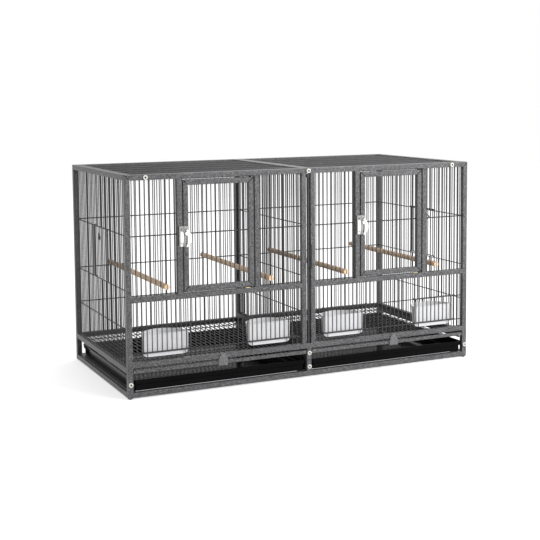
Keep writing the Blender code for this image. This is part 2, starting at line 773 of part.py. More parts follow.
def bowl_levels(wall):
    """Height, width, front and back of a bowl at each level, from its foot to its rim."""
    levels = []
    for turn in (0, 45, 90):
        swell = (BOWL_KNEE - wall) * math.sin(math.radians(turn))
        rise = wall + (BOWL_KNEE - wall) * (1 - math.cos(math.radians(turn)))
        levels.append((rise, BOWL_FOOT_WIDTH + 2 * swell, wall, BOWL_FOOT_DEPTH + swell))
    levels.append((BOWL_HEIGHT, BOWL_WIDTH - 2 * wall, wall, BOWL_DEPTH - wall))
    return levels


def build_bowls():
    """Half-round cups with a flat front, grown from the foot up to the rim and down again inside."""
    front = bowl_front_y()
    levels = bowl_levels(0.0) + bowl_levels(BOWL_WALL)[::-1]
    for side in (-1, 1):
        for place, (near, far) in FEEDERS.items():
            bm = bmesh.new()
            bmesh.ops.create_circle(bm, cap_ends=True, segments=BOWL_SEGMENTS, radius=1.0)
            disc = bm.verts[:] + bm.edges[:] + bm.faces[:]
            bmesh.ops.bisect_plane(bm, geom=disc, plane_co=(0, 0, 0), plane_no=(0, -1, 0), clear_outer=True)
            bmesh.ops.scale(bm, vec=(BOWL_WIDTH / 2, BOWL_DEPTH, 1.0), verts=bm.verts)
            cap = bm.faces[:][0]
            last = (0.0, BOWL_WIDTH, 0.0, BOWL_DEPTH)
            for count, level in enumerate(levels):
                if count:
                    grown = bmesh.ops.extrude_face_region(bm, geom=[cap])
                    if count > 1:
                        bmesh.ops.delete(bm, geom=[cap], context="FACES_ONLY")
                    cap = next(part for part in grown["geom"] if isinstance(part, bmesh.types.BMFace))
                shrink = (level[1] / last[1], (level[3] - level[2]) / (last[3] - last[2]), 1.0, 1.0)
                step = Matrix.Diagonal(shrink)
                there = Matrix.Translation((0.0, (level[2] + level[3]) / 2, level[0]))
                back = Matrix.Translation((0.0, -(last[2] + last[3]) / 2, -last[0]))
                bmesh.ops.transform(bm, matrix=there @ step @ back, verts=cap.verts)
                last = level
            bmesh.ops.recalc_face_normals(bm, faces=bm.faces)
            x = side * (near + far) / 2
            bmesh.ops.translate(bm, vec=(x, front, BOWL_BOTTOM_Z), verts=bm.verts)
            name = f"{SIDE_NAMES[side]}_{place}_bowl"
            add_part(name, mesh_from(bm, name), white_plastic, origin=(x, front, BOWL_BOTTOM_Z))


def build_nest_doors():
    """Small wire doors with a plate strip and a pull ring, over the nest-box openings of the side panels."""
    near, far = nest_span()
    low = MIDDLE_CROSS_Z + WIRE_RADIUS + GAP
    high = UPPER_CROSS_Z + 3 * WIRE_RADIUS + GAP
    hooks_at = (low + WIRE_RADIUS, high - WIRE_RADIUS)
    columns = [y for y in SIDE_LATTICE if near < y < far]
    room = WIRE_RADIUS + GAP
    face = -room - BORDER / 2
    middle = columns[len(columns) // 2]
    ring_y = columns[len(columns) // 2 + 1]
    ring = [(ring_y - SIDE_STEP, face, NEST_RING_Z)]
    ring += [
        (ring_y + across, face - NEST_RING_STANDOUT, NEST_RING_Z + drop)
        for across, drop in arc((0.0, 0.0), SIDE_STEP, -180, 0, 5)
    ]
    ring.append((ring_y + SIDE_STEP, face, NEST_RING_Z))
    for side in (-1, 1):
        grid = sliding_grid((near, far), low, high, columns, hooks_at)
        strip = boxes(
            (
                (far - NEST_STRIP_WIDTH / 2, far + NEST_STRIP_WIDTH / 2),
                (face - NEST_STRIP_THICKNESS, face),
                (low + BORDER / 2, high - BORDER / 2),
            )
        )
        door = combine(grid, [strip, bent_wire(ring)])
        outward = Matrix(
            (
                (0.0, -side, 0.0, side * SIDE_WIRE_X),
                (1.0, 0.0, 0.0, 0.0),
                (0.0, 0.0, 1.0, 0.0),
                (0.0, 0.0, 0.0, 1.0),
            )
        )
        door.transform(outward)
        if side < 0:
            door.flip_normals()
        origin = (side * SIDE_WIRE_X, middle, low)
        add_part(f"{SIDE_NAMES[side]}_nest_door", door, wire_enamel, origin=origin)


def build_divider():
    """A framed wire grid that slides out through the slot, with a pull loop at its front edge."""
    low = PANEL_RAIL_TOP + GAP
    high = TOP_RAIL_Z - SLIDE_GAP
    front = FRONT_Y + SLIDE_GAP
    back = INSIDE_BACK_Y - SLIDE_GAP
    half = DIVIDER_BORDER / 2
    edges = boxes(
        ((-half, half), (front, front + DIVIDER_BORDER), (low, high)),
        ((-half, half), (back - DIVIDER_BORDER, back), (low, high)),
    )
    rails = boxes(
        ((-half, half), (front + half, back - half), (low + GAP, low + DIVIDER_BORDER)),
        ((-half, half), (front + half, back - half), (high - DIVIDER_BORDER, high - GAP)),
    )
    rows, _ = lattice(front + DIVIDER_BORDER, back - DIVIDER_BORDER)
    uprights = []
    for y in rows:
        uprights.append(((0.0, y, low + half), (0.0, y, high - half)))
    crosses = []
    cross_x = half + WIRE_RADIUS / 2
    for level in (LOWER_CROSS_Z, MIDDLE_CROSS_Z, UPPER_CROSS_Z):
        crosses.append(((cross_x, front + half, level), (cross_x, back - half, level)))
    reach = FRONT_Y - PULL_REACH + WIRE_RADIUS
    bend = 2 * WIRE_RADIUS
    loop = bent_wire(
        [
            (0.0, front + half, PULL_BOTTOM_Z),
            (0.0, reach + bend, PULL_BOTTOM_Z),
            (0.0, reach, PULL_BOTTOM_Z + bend),
            (0.0, reach, PULL_TOP_Z - bend),
            (0.0, reach + bend, PULL_TOP_Z),
            (0.0, front + half, PULL_TOP_Z),
        ]
    )
    divider = combine(edges, [rails, wires(uprights), wires(crosses), loop])
    add_part("divider", divider, wire_enamel, origin=(0.0, front, low))


def build_perches():
    """Dowels from the front wires to the back wires, with a slot in each end that straddles a wire."""
    front = FRONT_WIRE_Y - PERCH_OVERHANG
    back = BACK_WIRE_Y + PERCH_OVERHANG
    slot = WIRE_RADIUS + GAP
    for side in (-1, 1):
        for place, (near, far) in FEEDERS.items():
            x = side * (near + far) / 2
            middle = Matrix.Translation((x, (front + back) / 2, PERCH_Z))
            bm = bmesh.new()
            bmesh.ops.create_cone(
                bm,
                cap_ends=True,
                segments=12,
                radius1=PERCH_RADIUS,
                radius2=PERCH_RADIUS,
                depth=back - front,
                matrix=middle @ Matrix.Rotation(math.pi / 2, 4, "X"),
            )
            tall = 2 * PERCH_RADIUS
            slots = boxes(
                ((x - slot, x + slot), (front - WELD, FRONT_WIRE_Y + slot), (PERCH_Z - tall, PERCH_Z + tall)),
                ((x - slot, x + slot), (BACK_WIRE_Y - slot, back + WELD), (PERCH_Z - tall, PERCH_Z + tall)),
            )
            perch = combine(mesh_from(bm, "perch"), [slots], "DIFFERENCE")
            perch.shade_smooth()
            perch.set_sharp_from_angle(angle=math.radians(40))
            add_part(f"{SIDE_NAMES[side]}_{place}_perch", perch, wood)


def build_grates():
    """Slide-out wire floors: flat border, wires front to back, cross wires under them, a plate tab."""
    near = TUBE / 2 + SLIDE_GAP
    far = POST_X - SLIDE_GAP
    front = FRONT_Y
    back = INSIDE_BACK_Y - SLIDE_GAP
    thin = GRATE_BAR * 0.7
    level = GRATE_TOP_Z - WIRE_RADIUS - GAP
    columns, _ = lattice(near + thin, far - thin)
    for side in (-1, 1):
        ends = boxes(
            ((side * near, side * far), (front, front + GRATE_BAR), (GRATE_BOTTOM_Z, GRATE_TOP_Z)),
            ((side * near, side * far), (back - thin, back), (GRATE_BOTTOM_Z, GRATE_TOP_Z)),
        )
        runs = boxes(
            *[
                (
                    (side * (x + GAP), side * (x + thin)),
                    (front + GRATE_BAR / 2, back - thin / 2),
                    (GRATE_BOTTOM_Z, GRATE_TOP_Z - GAP),
                )
                for x in (near, far - thin - GAP)
            ]
        )
        lengthwise = []
        for x in columns:
            start = (side * x, front + GRATE_BAR / 2, level)
            lengthwise.append((start, (side * x, back - thin / 2, level)))
        crosses = []
        for count in range(GRATE_CROSS_COUNT):
            y = front + (back - front) * (count + 1) / (GRATE_CROSS_COUNT + 1)
            under = level - CROSS_WIRE_STEP
            crosses.append(((side * (near + thin / 2), y, under), (side * (far - thin / 2), y, under)))
        grate = combine(ends, [runs, wires(lengthwise), wires(crosses)])
        origin = (side * (near + far) / 2, front, GRATE_BOTTOM_Z)
        holder = add_part(f"{SIDE_NAMES[side]}_floor_grate", grate, wire_enamel, origin=origin)
        tab_x = side * HALF_CENTRE + TAB_SHIFT
        crown = (tab_x, TAB_TOP_Z - TAB_TOP_RADIUS)
        outline = [(tab_x - TAB_WIDTH / 2, TAB_BOTTOM_Z), (tab_x + TAB_WIDTH / 2, TAB_BOTTOM_Z)]
        outline += arc(crown, TAB_TOP_RADIUS, 10, 170, 7)
        tab_y = front - GAP - TAB_THICKNESS / 2
        tab = plate([outline], TAB_THICKNESS, (0.0, tab_y, 0.0))
        origin = (tab_x, tab_y, TAB_BOTTOM_Z)
        add_part(f"{SIDE_NAMES[side]}_grate_tab", tab, hammertone, origin=origin, parent=holder)


def build_trays():
    """Deep open trays with a sloped front lip."""
    near = TUBE / 2 + SLIDE_GAP
    far = POST_X - SLIDE_GAP
    front = FRONT_Y + SLIDE_GAP
    back = INSIDE_BACK_Y - SLIDE_GAP
    top = TRAY_BOTTOM_Z + TRAY_HEIGHT
    for side in (-1, 1):
        bm = bmesh.new()
        add_box(bm, (side * near, side * far), (front, back), (TRAY_BOTTOM_Z, top))
        middle = Vector((side * (near + far) / 2, (front + back) / 2, 0.0))
        for vert in bm.verts:
            if vert.co.z < top - TRAY_HEIGHT / 2:
                vert.co.x -= math.copysign(TRAY_SLOPE, vert.co.x - middle.x)
                vert.co.y -= math.copysign(TRAY_SLOPE, vert.co.y - middle.y)
        rim = max(bm.faces, key=lambda face: face.calc_center_median().z)
        bmesh.ops.inset_region(bm, faces=[rim], thickness=TRAY_LIP, use_even_offset=True)
        hollow = bmesh.ops.extrude_face_region(bm, geom=[rim])
        bmesh.ops.delete(bm, geom=[rim], context="FACES_ONLY")
        for vert in [part for part in hollow["geom"] if isinstance(part, bmesh.types.BMVert)]:
            vert.co.z -= TRAY_HEIGHT - TRAY_WALL
            vert.co.x -= math.copysign(TRAY_SLOPE, vert.co.x - middle.x)
            vert.co.y -= math.copysign(TRAY_SLOPE, vert.co.y - middle.y)
        name = f"{SIDE_NAMES[side]}_tray"
        origin = (middle.x, front, TRAY_BOTTOM_Z)
        add_part(name, mesh_from(bm, name), black_plastic, origin=origin)


def build_bolts():
    """Socket-head bolts on the front tubes: each head is a turned profile."""
    profile = ((BOLT_RADIUS, 0.0), (BOLT_RADIUS, BOLT_HEIGHT * 0.5), (BOLT_RADIUS * 0.6, BOLT_HEIGHT))
    rail_z = TOP_RAIL_Z + TUBE / 2
    places = {
        "left_top_bolt": (-HALF_WIDTH + BOLT_INSET, rail_z),
        "centre_top_bolt": (0.0, rail_z),
        "right_top_bolt": (HALF_WIDTH - BOLT_INSET, rail_z),
        "centre_upper_bolt": (0.0, CENTRE_BOLT_HIGH_Z),
        "centre_lower_bolt": (0.0, CENTRE_BOLT_LOW_Z),
        "left_corner_bolt": (-SIDE_WIRE_X, CORNER_BOLT_Z),
        "right_corner_bolt": (SIDE_WIRE_X, CORNER_BOLT_Z),
    }
    for name, (x, z) in places.items():
        bm = bmesh.new()
        for (low_radius, low), (high_radius, high) in zip(profile, profile[1:]):
            bmesh.ops.create_cone(
                bm,
                cap_ends=False,
                segments=8,
                radius1=low_radius,
                radius2=high_radius,
                depth=high - low,
                matrix=Matrix.Translation((0.0, 0.0, (low + high) / 2)),
            )
        bmesh.ops.remove_doubles(bm, verts=bm.verts, dist=1e-6)
        bmesh.ops.holes_fill(bm, edges=bm.edges)
        head = mesh_from(bm, name)
        origin = (x, FRONT_Y - GAP, z)
        head.transform(Matrix.Translation(origin) @ Matrix.Rotation(math.pi / 2, 4, "X"))
        add_part(name, head, zinc, origin=origin)


def build_feet():
    for side in (-1, 1):
        for place, y in (("front", FRONT_WIRE_Y), ("back", BACK_WIRE_Y)):
            bm = bmesh.new()
            tall = FOOT_HEIGHT - GAP
            bmesh.ops.create_cone(
                bm,
                cap_ends=True,
                segments=12,
                radius1=FOOT_RADIUS,
                radius2=FOOT_RADIUS,
                depth=tall,
                matrix=Matrix.Translation((side * SIDE_WIRE_X, y, tall / 2)),
            )
            name = f"{SIDE_NAMES[side]}_{place}_foot"
            add_part(name, mesh_from(bm, name), rubber, origin=(side * SIDE_WIRE_X, y, 0.0))


build_front_frame()
build_upper_grilles()
build_lower_grilles()
build_back_panel()
for which in (-1, 1):
    build_side_panel(which)
build_top()
build_base()
for which in (-1, 1):
    hinged = build_door(which * HALF_CENTRE, SIDE_NAMES[which])
    build_latch(which * HALF_CENTRE, SIDE_NAMES[which], hinged)
build_feeder_doors()
build_bowls()
build_nest_doors()
build_divider()
build_perches()
build_grates()
build_trays()
build_bolts()
build_feet()
bpy.data.collections.remove(cutters)
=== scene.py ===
from math import cos, pi, radians, sin
import bpy
import bmesh
from mathutils import Matrix, Vector


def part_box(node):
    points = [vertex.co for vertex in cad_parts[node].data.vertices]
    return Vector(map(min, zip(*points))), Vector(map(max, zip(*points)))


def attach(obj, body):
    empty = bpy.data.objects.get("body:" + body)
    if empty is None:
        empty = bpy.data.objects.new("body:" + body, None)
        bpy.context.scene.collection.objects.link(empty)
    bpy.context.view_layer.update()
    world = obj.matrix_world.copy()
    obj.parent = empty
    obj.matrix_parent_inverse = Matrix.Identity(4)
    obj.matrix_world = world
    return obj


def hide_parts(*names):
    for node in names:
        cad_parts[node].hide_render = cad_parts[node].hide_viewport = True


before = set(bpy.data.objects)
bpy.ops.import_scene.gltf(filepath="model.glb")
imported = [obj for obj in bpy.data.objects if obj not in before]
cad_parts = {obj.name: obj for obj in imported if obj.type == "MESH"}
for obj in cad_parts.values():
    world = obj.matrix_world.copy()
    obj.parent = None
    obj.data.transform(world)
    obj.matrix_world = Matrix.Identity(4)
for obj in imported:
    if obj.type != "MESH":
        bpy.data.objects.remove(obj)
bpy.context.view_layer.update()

scene = bpy.context.scene

# a long lens a little above the cage, far off to its left
photo = {
    "eye": (-1.2627, -2.6869, 0.7171),
    "yaw": 25.129,        # degrees from +Y towards +X
    "pitch": 4.926,       # degrees downwards
    "roll": -0.459,
    "focalPixels": 1114.1,
    "imagePixels": 540,
    "sensor": 36.0,
    "shift": (0.0, -0.15),
}
cameraData = bpy.data.cameras.new("photoCamera")
cameraData.sensor_width = photo["sensor"]
cameraData.lens = photo["focalPixels"] / photo["imagePixels"] * photo["sensor"]
cameraData.shift_x, cameraData.shift_y = photo["shift"]
cameraData.clip_start = 0.05
camera = bpy.data.objects.new("photoCamera", cameraData)
scene.collection.objects.link(camera)
camera.matrix_world = (
    Matrix.Translation(photo["eye"])
    @ Matrix.Rotation(radians(-photo["yaw"]), 4, "Z")
    @ Matrix.Rotation(radians(90 - photo["pitch"]), 4, "X")
    @ Matrix.Rotation(radians(photo["roll"]), 4, "Z")
)
scene.camera = camera
print("camera placed")


def srgb(code):
    channels = [int(code[i:i + 2], 16) / 255 for i in (1, 3, 5)]
    linear = [c / 12.92 if c <= 0.04045 else ((c + 0.055) / 1.055) ** 2.4 for c in channels]
    return (*linear, 1.0)


def perMillimetre(size):
    return 1000 / size


def addNode(tree, kind, settings, links):
    # settings go to a socket, a property or the colour stops; links go to sockets by name or number
    node = tree.nodes.new("ShaderNode" + kind)
    for key, value in settings.items():
        if key == "stops":
            elements = node.color_ramp.elements
            for number, (position, code) in enumerate(value):
                element = elements[number] if number < 2 else elements.new(position)
                element.position = position
                element.color = srgb(code)
        elif key in node.inputs:
            node.inputs[key].default_value = value
        else:
            setattr(node, key, value)
    for key, source in links.items():
        tree.links.new(source, node.inputs[key])
    return node.outputs


def newTree(name):
    material = bpy.data.materials.new(name)
    material.use_nodes = True
    tree = material.node_tree
    tree.nodes.clear()
    return material, tree, addNode(tree, "TexCoord", {}, {})["Object"]


def finished(material, colour, gloss, bump, settings):
    # the end of every finish: gloss is a source and its range, bump is a height, its strength and its depth
    tree = material.node_tree
    rough = addNode(tree, "MapRange", {"To Min": gloss[1], "To Max": gloss[2]}, {"Value": gloss[0]})
    relief = addNode(tree, "Bump", {"Strength": bump[1], "Distance": bump[2]}, {"Height": bump[0]})
    links = {"Base Color": colour, "Roughness": rough["Result"], "Normal": relief["Normal"]}
    shader = addNode(tree, "BsdfPrincipled", settings, links)
    addNode(tree, "OutputMaterial", {}, {"Surface": shader["BSDF"]})
    return material


def hammertoneEnamel(name, vein, middle, flake):
    # hammertone alkyd enamel, sprayed on steel tube: metal flake gathers in pale dimples between darker
    # veins, under a gloss skin that follows them
    material, tree, place = newTree(name)
    # real dimples are about 1 mm wide; they are drawn at 1.8 mm so that they show in the render
    fine = {"Scale": perMillimetre(1.8), "Detail": 2.0, "Roughness": 0.7}
    broad = {"Scale": perMillimetre(80.0), "Detail": 2.0}
    tones = {"stops": ((0.36, vein), (0.5, middle), (0.64, flake))}
    shades = {"stops": ((0.3, "#ececec"), (0.7, "#ffffff"))}
    blend = {"data_type": "RGBA", "blend_type": "MULTIPLY", "Factor": 1.0}
    dimples = addNode(tree, "TexNoise", fine, {"Vector": place})["Fac"]
    veins = addNode(tree, "TexVoronoi", {"Scale": perMillimetre(4.8)}, {"Vector": place})["Distance"]
    drift = addNode(tree, "TexNoise", broad, {"Vector": place})["Fac"]
    speckle = addNode(tree, "ValToRGB", tones, {"Fac": dimples})["Color"]
    shade = addNode(tree, "ValToRGB", shades, {"Fac": drift})["Color"]
    colour = addNode(tree, "Mix", blend, {6: speckle, 7: shade})[2]
    return finished(material, colour, (dimples, 0.34, 0.56), (veins, 0.35, 0.0003), {"Metallic": 0.25, "IOR": 1.5})


def powderCoatedWire():
    # mild steel wire, welded and then powder coated: a thick, slightly uneven, semi-gloss grey skin
    material, tree, place = newTree("powderCoatedWire")
    fine = {"Scale": perMillimetre(2.9), "Detail": 3.0, "Roughness": 0.6}
    broad = {"Scale": perMillimetre(66.0), "Detail": 1.0}
    tones = {"stops": ((0.3, "#242426"), (0.52, "#343436"), (0.72, "#4b4b4e"))}
    skin = addNode(tree, "TexNoise", fine, {"Vector": place})["Fac"]
    drift = addNode(tree, "TexNoise", broad, {"Vector": place})["Fac"]
    colour = addNode(tree, "ValToRGB", tones, {"Fac": skin})["Color"]
    return finished(material, colour, (drift, 0.36, 0.55), (skin, 0.25, 0.0001), {"Metallic": 0.0, "IOR": 1.5})


def platedSteel(name, recessShade, light, low, high):
    # stamped steel with an electroplated finish: faint spangle and patches dulled by fingers
    material, tree, place = newTree(name)
    patches = {"Scale": perMillimetre(5.5), "Detail": 4.0, "Roughness": 0.6}
    # plating crystals are microscopic; they are drawn at 1.4 mm so that the metal isn't one flat tone
    spangle = addNode(tree, "TexVoronoi", {"Scale": perMillimetre(1.4)}, {"Vector": place})["Distance"]
    dulled = addNode(tree, "TexNoise", patches, {"Vector": place})["Fac"]
    colour = addNode(tree, "ValToRGB", {"stops": ((0.1, recessShade), (0.8, light))}, {"Fac": spangle})["Color"]
    return finished(material, colour, (dulled, low, high), (dulled, 0.12, 0.0002), {"Metallic": 1.0})


def mouldedPlastic(name, recessShade, light, low, high, grain, depth, index=1.5):
    # injection moulding: flow shading over decimetres, and the die's texture over millimetres
    material, tree, place = newTree(name)
    broad = {"Scale": perMillimetre(110.0), "Detail": 3.0, "Distortion": 0.6}
    fine = {"Scale": perMillimetre(grain), "Detail": 4.0, "Roughness": 0.6}
    flow = addNode(tree, "TexNoise", broad, {"Vector": place})["Fac"]
    die = addNode(tree, "TexNoise", fine, {"Vector": place})["Fac"]
    colour = addNode(tree, "ValToRGB", {"stops": ((0.3, recessShade), (0.7, light))}, {"Fac": flow})["Color"]
    return finished(material, colour, (die, low, high), (die, depth, 0.0002), {"Metallic": 0.0, "IOR": index})


def sandedBeech():
    # beech dowel, turned and sanded, no varnish: long grain along Y with short dark flecks
    material, tree, place = newTree("sandedBeech")
    broad = {"Scale": perMillimetre(2.4), "Detail": 5.0, "Roughness": 0.65}
    fine = {"Scale": perMillimetre(0.7), "Detail": 2.0}
    tones = {"stops": ((0.32, "#e8c4a0"), (0.5, "#f6d8b8"), (0.7, "#fdebd4"))}
    shades = {"stops": ((0.3, "#d6b08c"), (0.42, "#ffffff"))}
    blend = {"data_type": "RGBA", "blend_type": "MULTIPLY", "Factor": 0.55}
    along = addNode(tree, "Mapping", {"Scale": (1.0, 0.06, 1.0)}, {"Vector": place})["Vector"]
    grain = addNode(tree, "TexNoise", broad, {"Vector": along})["Fac"]
    flecks = addNode(tree, "TexNoise", fine, {"Vector": along})["Fac"]
    wood = addNode(tree, "ValToRGB", tones, {"Fac": grain})["Color"]
    dots = addNode(tree, "ValToRGB", shades, {"Fac": flecks})["Color"]
    colour = addNode(tree, "Mix", blend, {6: wood, 7: dots})[2]
    return finished(material, colour, (grain, 0.55, 0.75), (grain, 0.3, 0.0002), {"Metallic": 0.0, "IOR": 1.45})


# each finish with the record's slot that it belongs to
finishes = {
    "frame": ("hammertone_enamel", hammertoneEnamel("hammertoneEnamel", "#242426", "#4e4e50", "#888889")),
    "wire": ("wire_enamel", powderCoatedWire()),
    "zinc": ("bright_zinc", platedSteel("brightZincPlate", "#d6d6d4", "#f4f4f2", 0.18, 0.36)),
    "plate": ("bright_zinc", platedSteel("dullZincPlate", "#626261", "#a6a6a4", 0.42, 0.62)),
    "brass": ("bright_zinc", platedSteel("yellowZincPlate", "#b5a478", "#d9cca4", 0.30, 0.48)),
    "bolt": ("bright_zinc", mouldedPlastic("creamEnamel", "#efece2", "#fbf9f2", 0.30, 0.45, 1.5, 0.10)),
    # oiled steel for the hinge pins; the same dark finish is painted shade in the bolt sockets and the screw
    # recesses
    "steelAndShade": ("bright_zinc", platedSteel("oiledSteelAndPaintedShade", "#161616", "#2a2a2a", 0.35, 0.55)),
    "bowl": ("white_plastic", mouldedPlastic("whitePolypropylene", "#f4f4f7", "#fcfcfd", 0.30, 0.45, 1.1, 0.08)),
    "tray": ("black_plastic", mouldedPlastic("blackPolystyrene", "#030304", "#08080a", 0.06, 0.14, 2.0, 0.02, 1.15)),
    # painted light: a lighter copy of the frame's hammertone, for the grate tab that catches more light than the
    # rail behind it
    "paintedLightTab": ("hammertone_enamel", hammertoneEnamel("paintedLightHammertone", "#363638", "#686869", "#a2a2a4")),
    # black nylon for the divider's corner clip; the same finish is painted shadow on the pad along the latch
    # keeper's edge
    "nylonAndShadow": ("black_plastic", mouldedPlastic("blackNylonAndPaintedShadow", "#101012", "#1c1c1f", 0.35, 0.55, 1.1, 0.15)),
    "dowel": ("beech_dowel", sandedBeech()),
    "foot": ("rubber_foot", mouldedPlastic("blackRubber", "#141414", "#232323", 0.65, 0.85, 0.8, 0.3)),
}
print("materials made")

frontLow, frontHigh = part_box("front_frame")
backLow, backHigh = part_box("back_panel")
cage = {
    "half": frontHigh.x, "tube": frontHigh.y - frontLow.y, "low": frontLow.z, "high": frontHigh.z,
    "front": frontLow.y, "frontInner": frontHigh.y, "backInner": backLow.y, "back": backHigh.y,
    "panelRail": 0.074, "sideRail": 0.061, "midRail": 0.229, "stile": 0.019, "doorway": 0.189, "slot": 0.006,
    "tubeEdge": 0.0012, "crossUpper": 0.385, "crossMiddle": 0.2536, "crossLower": 0.1606,
    "wire": 0.0013, "crossWire": 0.0015, "weldBead": 0.95, "squeeze": 0.0003, "pitch": 0.0124, "pitches": 36,
    "sunk": 0.0005,       # how far a wire's end runs into the tube it is welded to
    "fit": 0.0002,
}
tube, wire, sunk, fit = cage["tube"], cage["wire"], cage["sunk"], cage["fit"]
weld = wire * cage["weldBead"]
lapped = 2 * wire - cage["squeeze"]  # centre distance of two wires welded across each other
crossLevels = [cage[level] for level in ("crossLower", "crossMiddle", "crossUpper")]
postX = cage["half"] - tube
topRail = cage["high"] - tube
baseTop, panelTop, sideTop, midTop = (cage[rail] + tube for rail in ("low", "panelRail", "sideRail", "midRail"))
rails = {
    "base": (cage["low"], baseTop), "panel": (cage["panelRail"], panelTop),
    "side": (cage["sideRail"], sideTop), "top": (topRail, cage["high"]),
}
frontWire = cage["front"] + tube / 2
backWire = cage["back"] - tube / 2
sideWire = cage["half"] - tube / 2
halfCentre = (postX + cage["stile"]) / 2
doorIn, doorOut = halfCentre - cage["doorway"] / 2, halfCentre + cage["doorway"] / 2
sides = {"left": -1, "right": 1}


def evenRows(start, end, gaps=None):
    # wires at the common pitch, or as near to it as fills the span evenly
    gaps = gaps or round((end - start) / cage["pitch"])
    return [start + (end - start) * number / gaps for number in range(1, gaps)]


wireStep = (postX - cage["stile"]) / cage["pitches"]
lattice = [postX - wireStep * number for number in range(1, cage["pitches"])]
sideLattice = evenRows(cage["frontInner"], cage["backInner"])


def vertsIn(geom):
    return [g for g in geom if isinstance(g, bmesh.types.BMVert)]


def edgesIn(geom):
    return [g for g in geom if isinstance(g, bmesh.types.BMEdge)]


def roundOff(bm, geom, offset, segments, affect="EDGES"):
    bmesh.ops.bevel(bm, geom=geom, offset=offset, segments=segments, profile=0.5, affect=affect, material=-1)


def cutAway(bm, point, outward):
    # takes off what lies past a plane, and gives the edges round the cut
    everything = bm.verts[:] + bm.edges[:] + bm.faces[:]
    made = bmesh.ops.bisect_plane(bm, geom=everything, plane_co=point, plane_no=outward, clear_outer=True)
    return edgesIn(made["geom_cut"])


def joinInto(bm, part, place=None):
    if place is not None:
        bmesh.ops.transform(part, matrix=place, verts=part.verts)
    mesh = bpy.data.meshes.new("part")
    part.to_mesh(mesh)
    part.free()
    bm.from_mesh(mesh)
    bpy.data.meshes.remove(mesh)


def block(low, high):
    low, high = Vector(low), Vector(high)
    part = bmesh.new()
    bmesh.ops.create_cube(part, size=1.0)
    bmesh.ops.scale(part, vec=[abs(a) for a in high - low], verts=part.verts)
    bmesh.ops.translate(part, vec=(low + high) / 2, verts=part.verts)
    return part


def squareTube(bm, low, high, cuts=()):
    # drawn tube between two corners: rounded long edges, and ends cut on planes where it is mitred
    part = block(low, high)
    size = [abs(b - a) for a, b in zip(low, high)]
    longest = size.index(max(size))
    lengthwise = [e for e in part.edges if abs(e.verts[0].co[longest] - e.verts[1].co[longest]) > size[longest] / 2]
    roundOff(part, lengthwise, cage["tubeEdge"], 2)
    for point, outward in cuts:
        bmesh.ops.edgeloop_fill(part, edges=cutAway(part, point, outward))
    bmesh.ops.recalc_face_normals(part, faces=part.faces)
    joinInto(bm, part)


def flatBar(bm, low, high, radius=0.0004):
    # a strip or plate with slightly broken edges
    part = block(low, high)
    roundOff(part, part.edges[:], radius, 1)
    joinInto(bm, part)


def straightWire(bm, start, end, radius=wire, segments=8):
    start, end = Vector(start), Vector(end)
    run = end - start
    place = Matrix.Translation((start + end) / 2) @ run.to_track_quat("Z", "Y").to_matrix().to_4x4()
    bmesh.ops.create_cone(
        bm, cap_ends=True, segments=segments, radius1=radius, radius2=radius, depth=run.length, matrix=place
    )


def weldSpot(bm, point, radius=weld):
    # where two wires are resistance welded, a little metal squeezes out round the crossing
    made = bmesh.ops.create_uvsphere(bm, u_segments=6, v_segments=4, radius=radius)
    bmesh.ops.translate(bm, vec=point, verts=made["verts"])


def bentWire(bm, points, radius, bend=0.003, closed=False):
    # wire bent round formers: straight runs between arcs of the bend radius
    points = [Vector(p) for p in points]
    path = []
    for number, corner in enumerate(points):
        if not closed and number in (0, len(points) - 1):
            path.append(corner)
            continue
        before = points[number - 1] - corner
        after = points[(number + 1) % len(points)] - corner
        reach = min(bend, before.length * 0.45, after.length * 0.45)
        start, end = corner + before.normalized() * reach, corner + after.normalized() * reach
        for share in (0.0, 0.25, 0.5, 0.75, 1.0):
            path.append(start.lerp(corner, share).lerp(corner.lerp(end, share), share))
    curve = bpy.data.curves.new("wirePath", "CURVE")
    curve.dimensions = "3D"
    curve.bevel_depth = radius
    curve.bevel_resolution = 2
    curve.use_fill_caps = True
    spline = curve.splines.new("POLY")
    spline.points.add(len(path) - 1)
    for point, place in zip(spline.points, path):
        point.co = (*place, 1.0)
    spline.use_cyclic_u = closed
    holder = bpy.data.objects.new("wirePath", curve)
    scene.collection.objects.link(holder)
    mesh = bpy.data.meshes.new_from_object(holder.evaluated_get(bpy.context.evaluated_depsgraph_get()))
    part = bmesh.new()
    part.from_mesh(mesh)
    bmesh.ops.remove_doubles(part, verts=part.verts, dist=1e-6)
    bpy.data.objects.remove(holder, do_unlink=True)
    bpy.data.meshes.remove(mesh)
    bmesh.ops.recalc_face_normals(part, faces=part.faces)
    joinInto(bm, part)


def outlinePlate(bm, outline, front, thickness, edge):
    # a plate in X and Z from a closed outline, with its face at y = front
    part = bmesh.new()
    face = part.faces.new([part.verts.new((x, front, z)) for x, z in outline])
    grown = bmesh.ops.extrude_face_region(part, geom=[face])
    bmesh.ops.translate(part, vec=(0, thickness, 0), verts=vertsIn(grown["geom"]))
    bmesh.ops.recalc_face_normals(part, faces=part.faces)
    roundOff(part, [e for e in part.edges if abs(e.verts[0].co.y - e.verts[1].co.y) < 1e-7], edge, 2)
    joinInto(bm, part)


def finishPiece(name, bm, finish, body="cage", nodes=()):
    mesh = bpy.data.meshes.new(name)
    bm.to_mesh(mesh)
    bm.free()
    mesh.shade_smooth()
    mesh.set_sharp_from_angle(angle=radians(50 if finish == "wire" else 35))
    slot, material = finishes[finish]
    mesh.materials.append(material)
    piece = bpy.data.objects.new(name, mesh)
    scene.collection.objects.link(piece)
    # keeps the large flats flat beside their rounded edges
    piece.modifiers.new("flatFaces", "WEIGHTED_NORMAL").keep_sharp = True
    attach(piece, body)
    if nodes:
        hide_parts(*nodes)


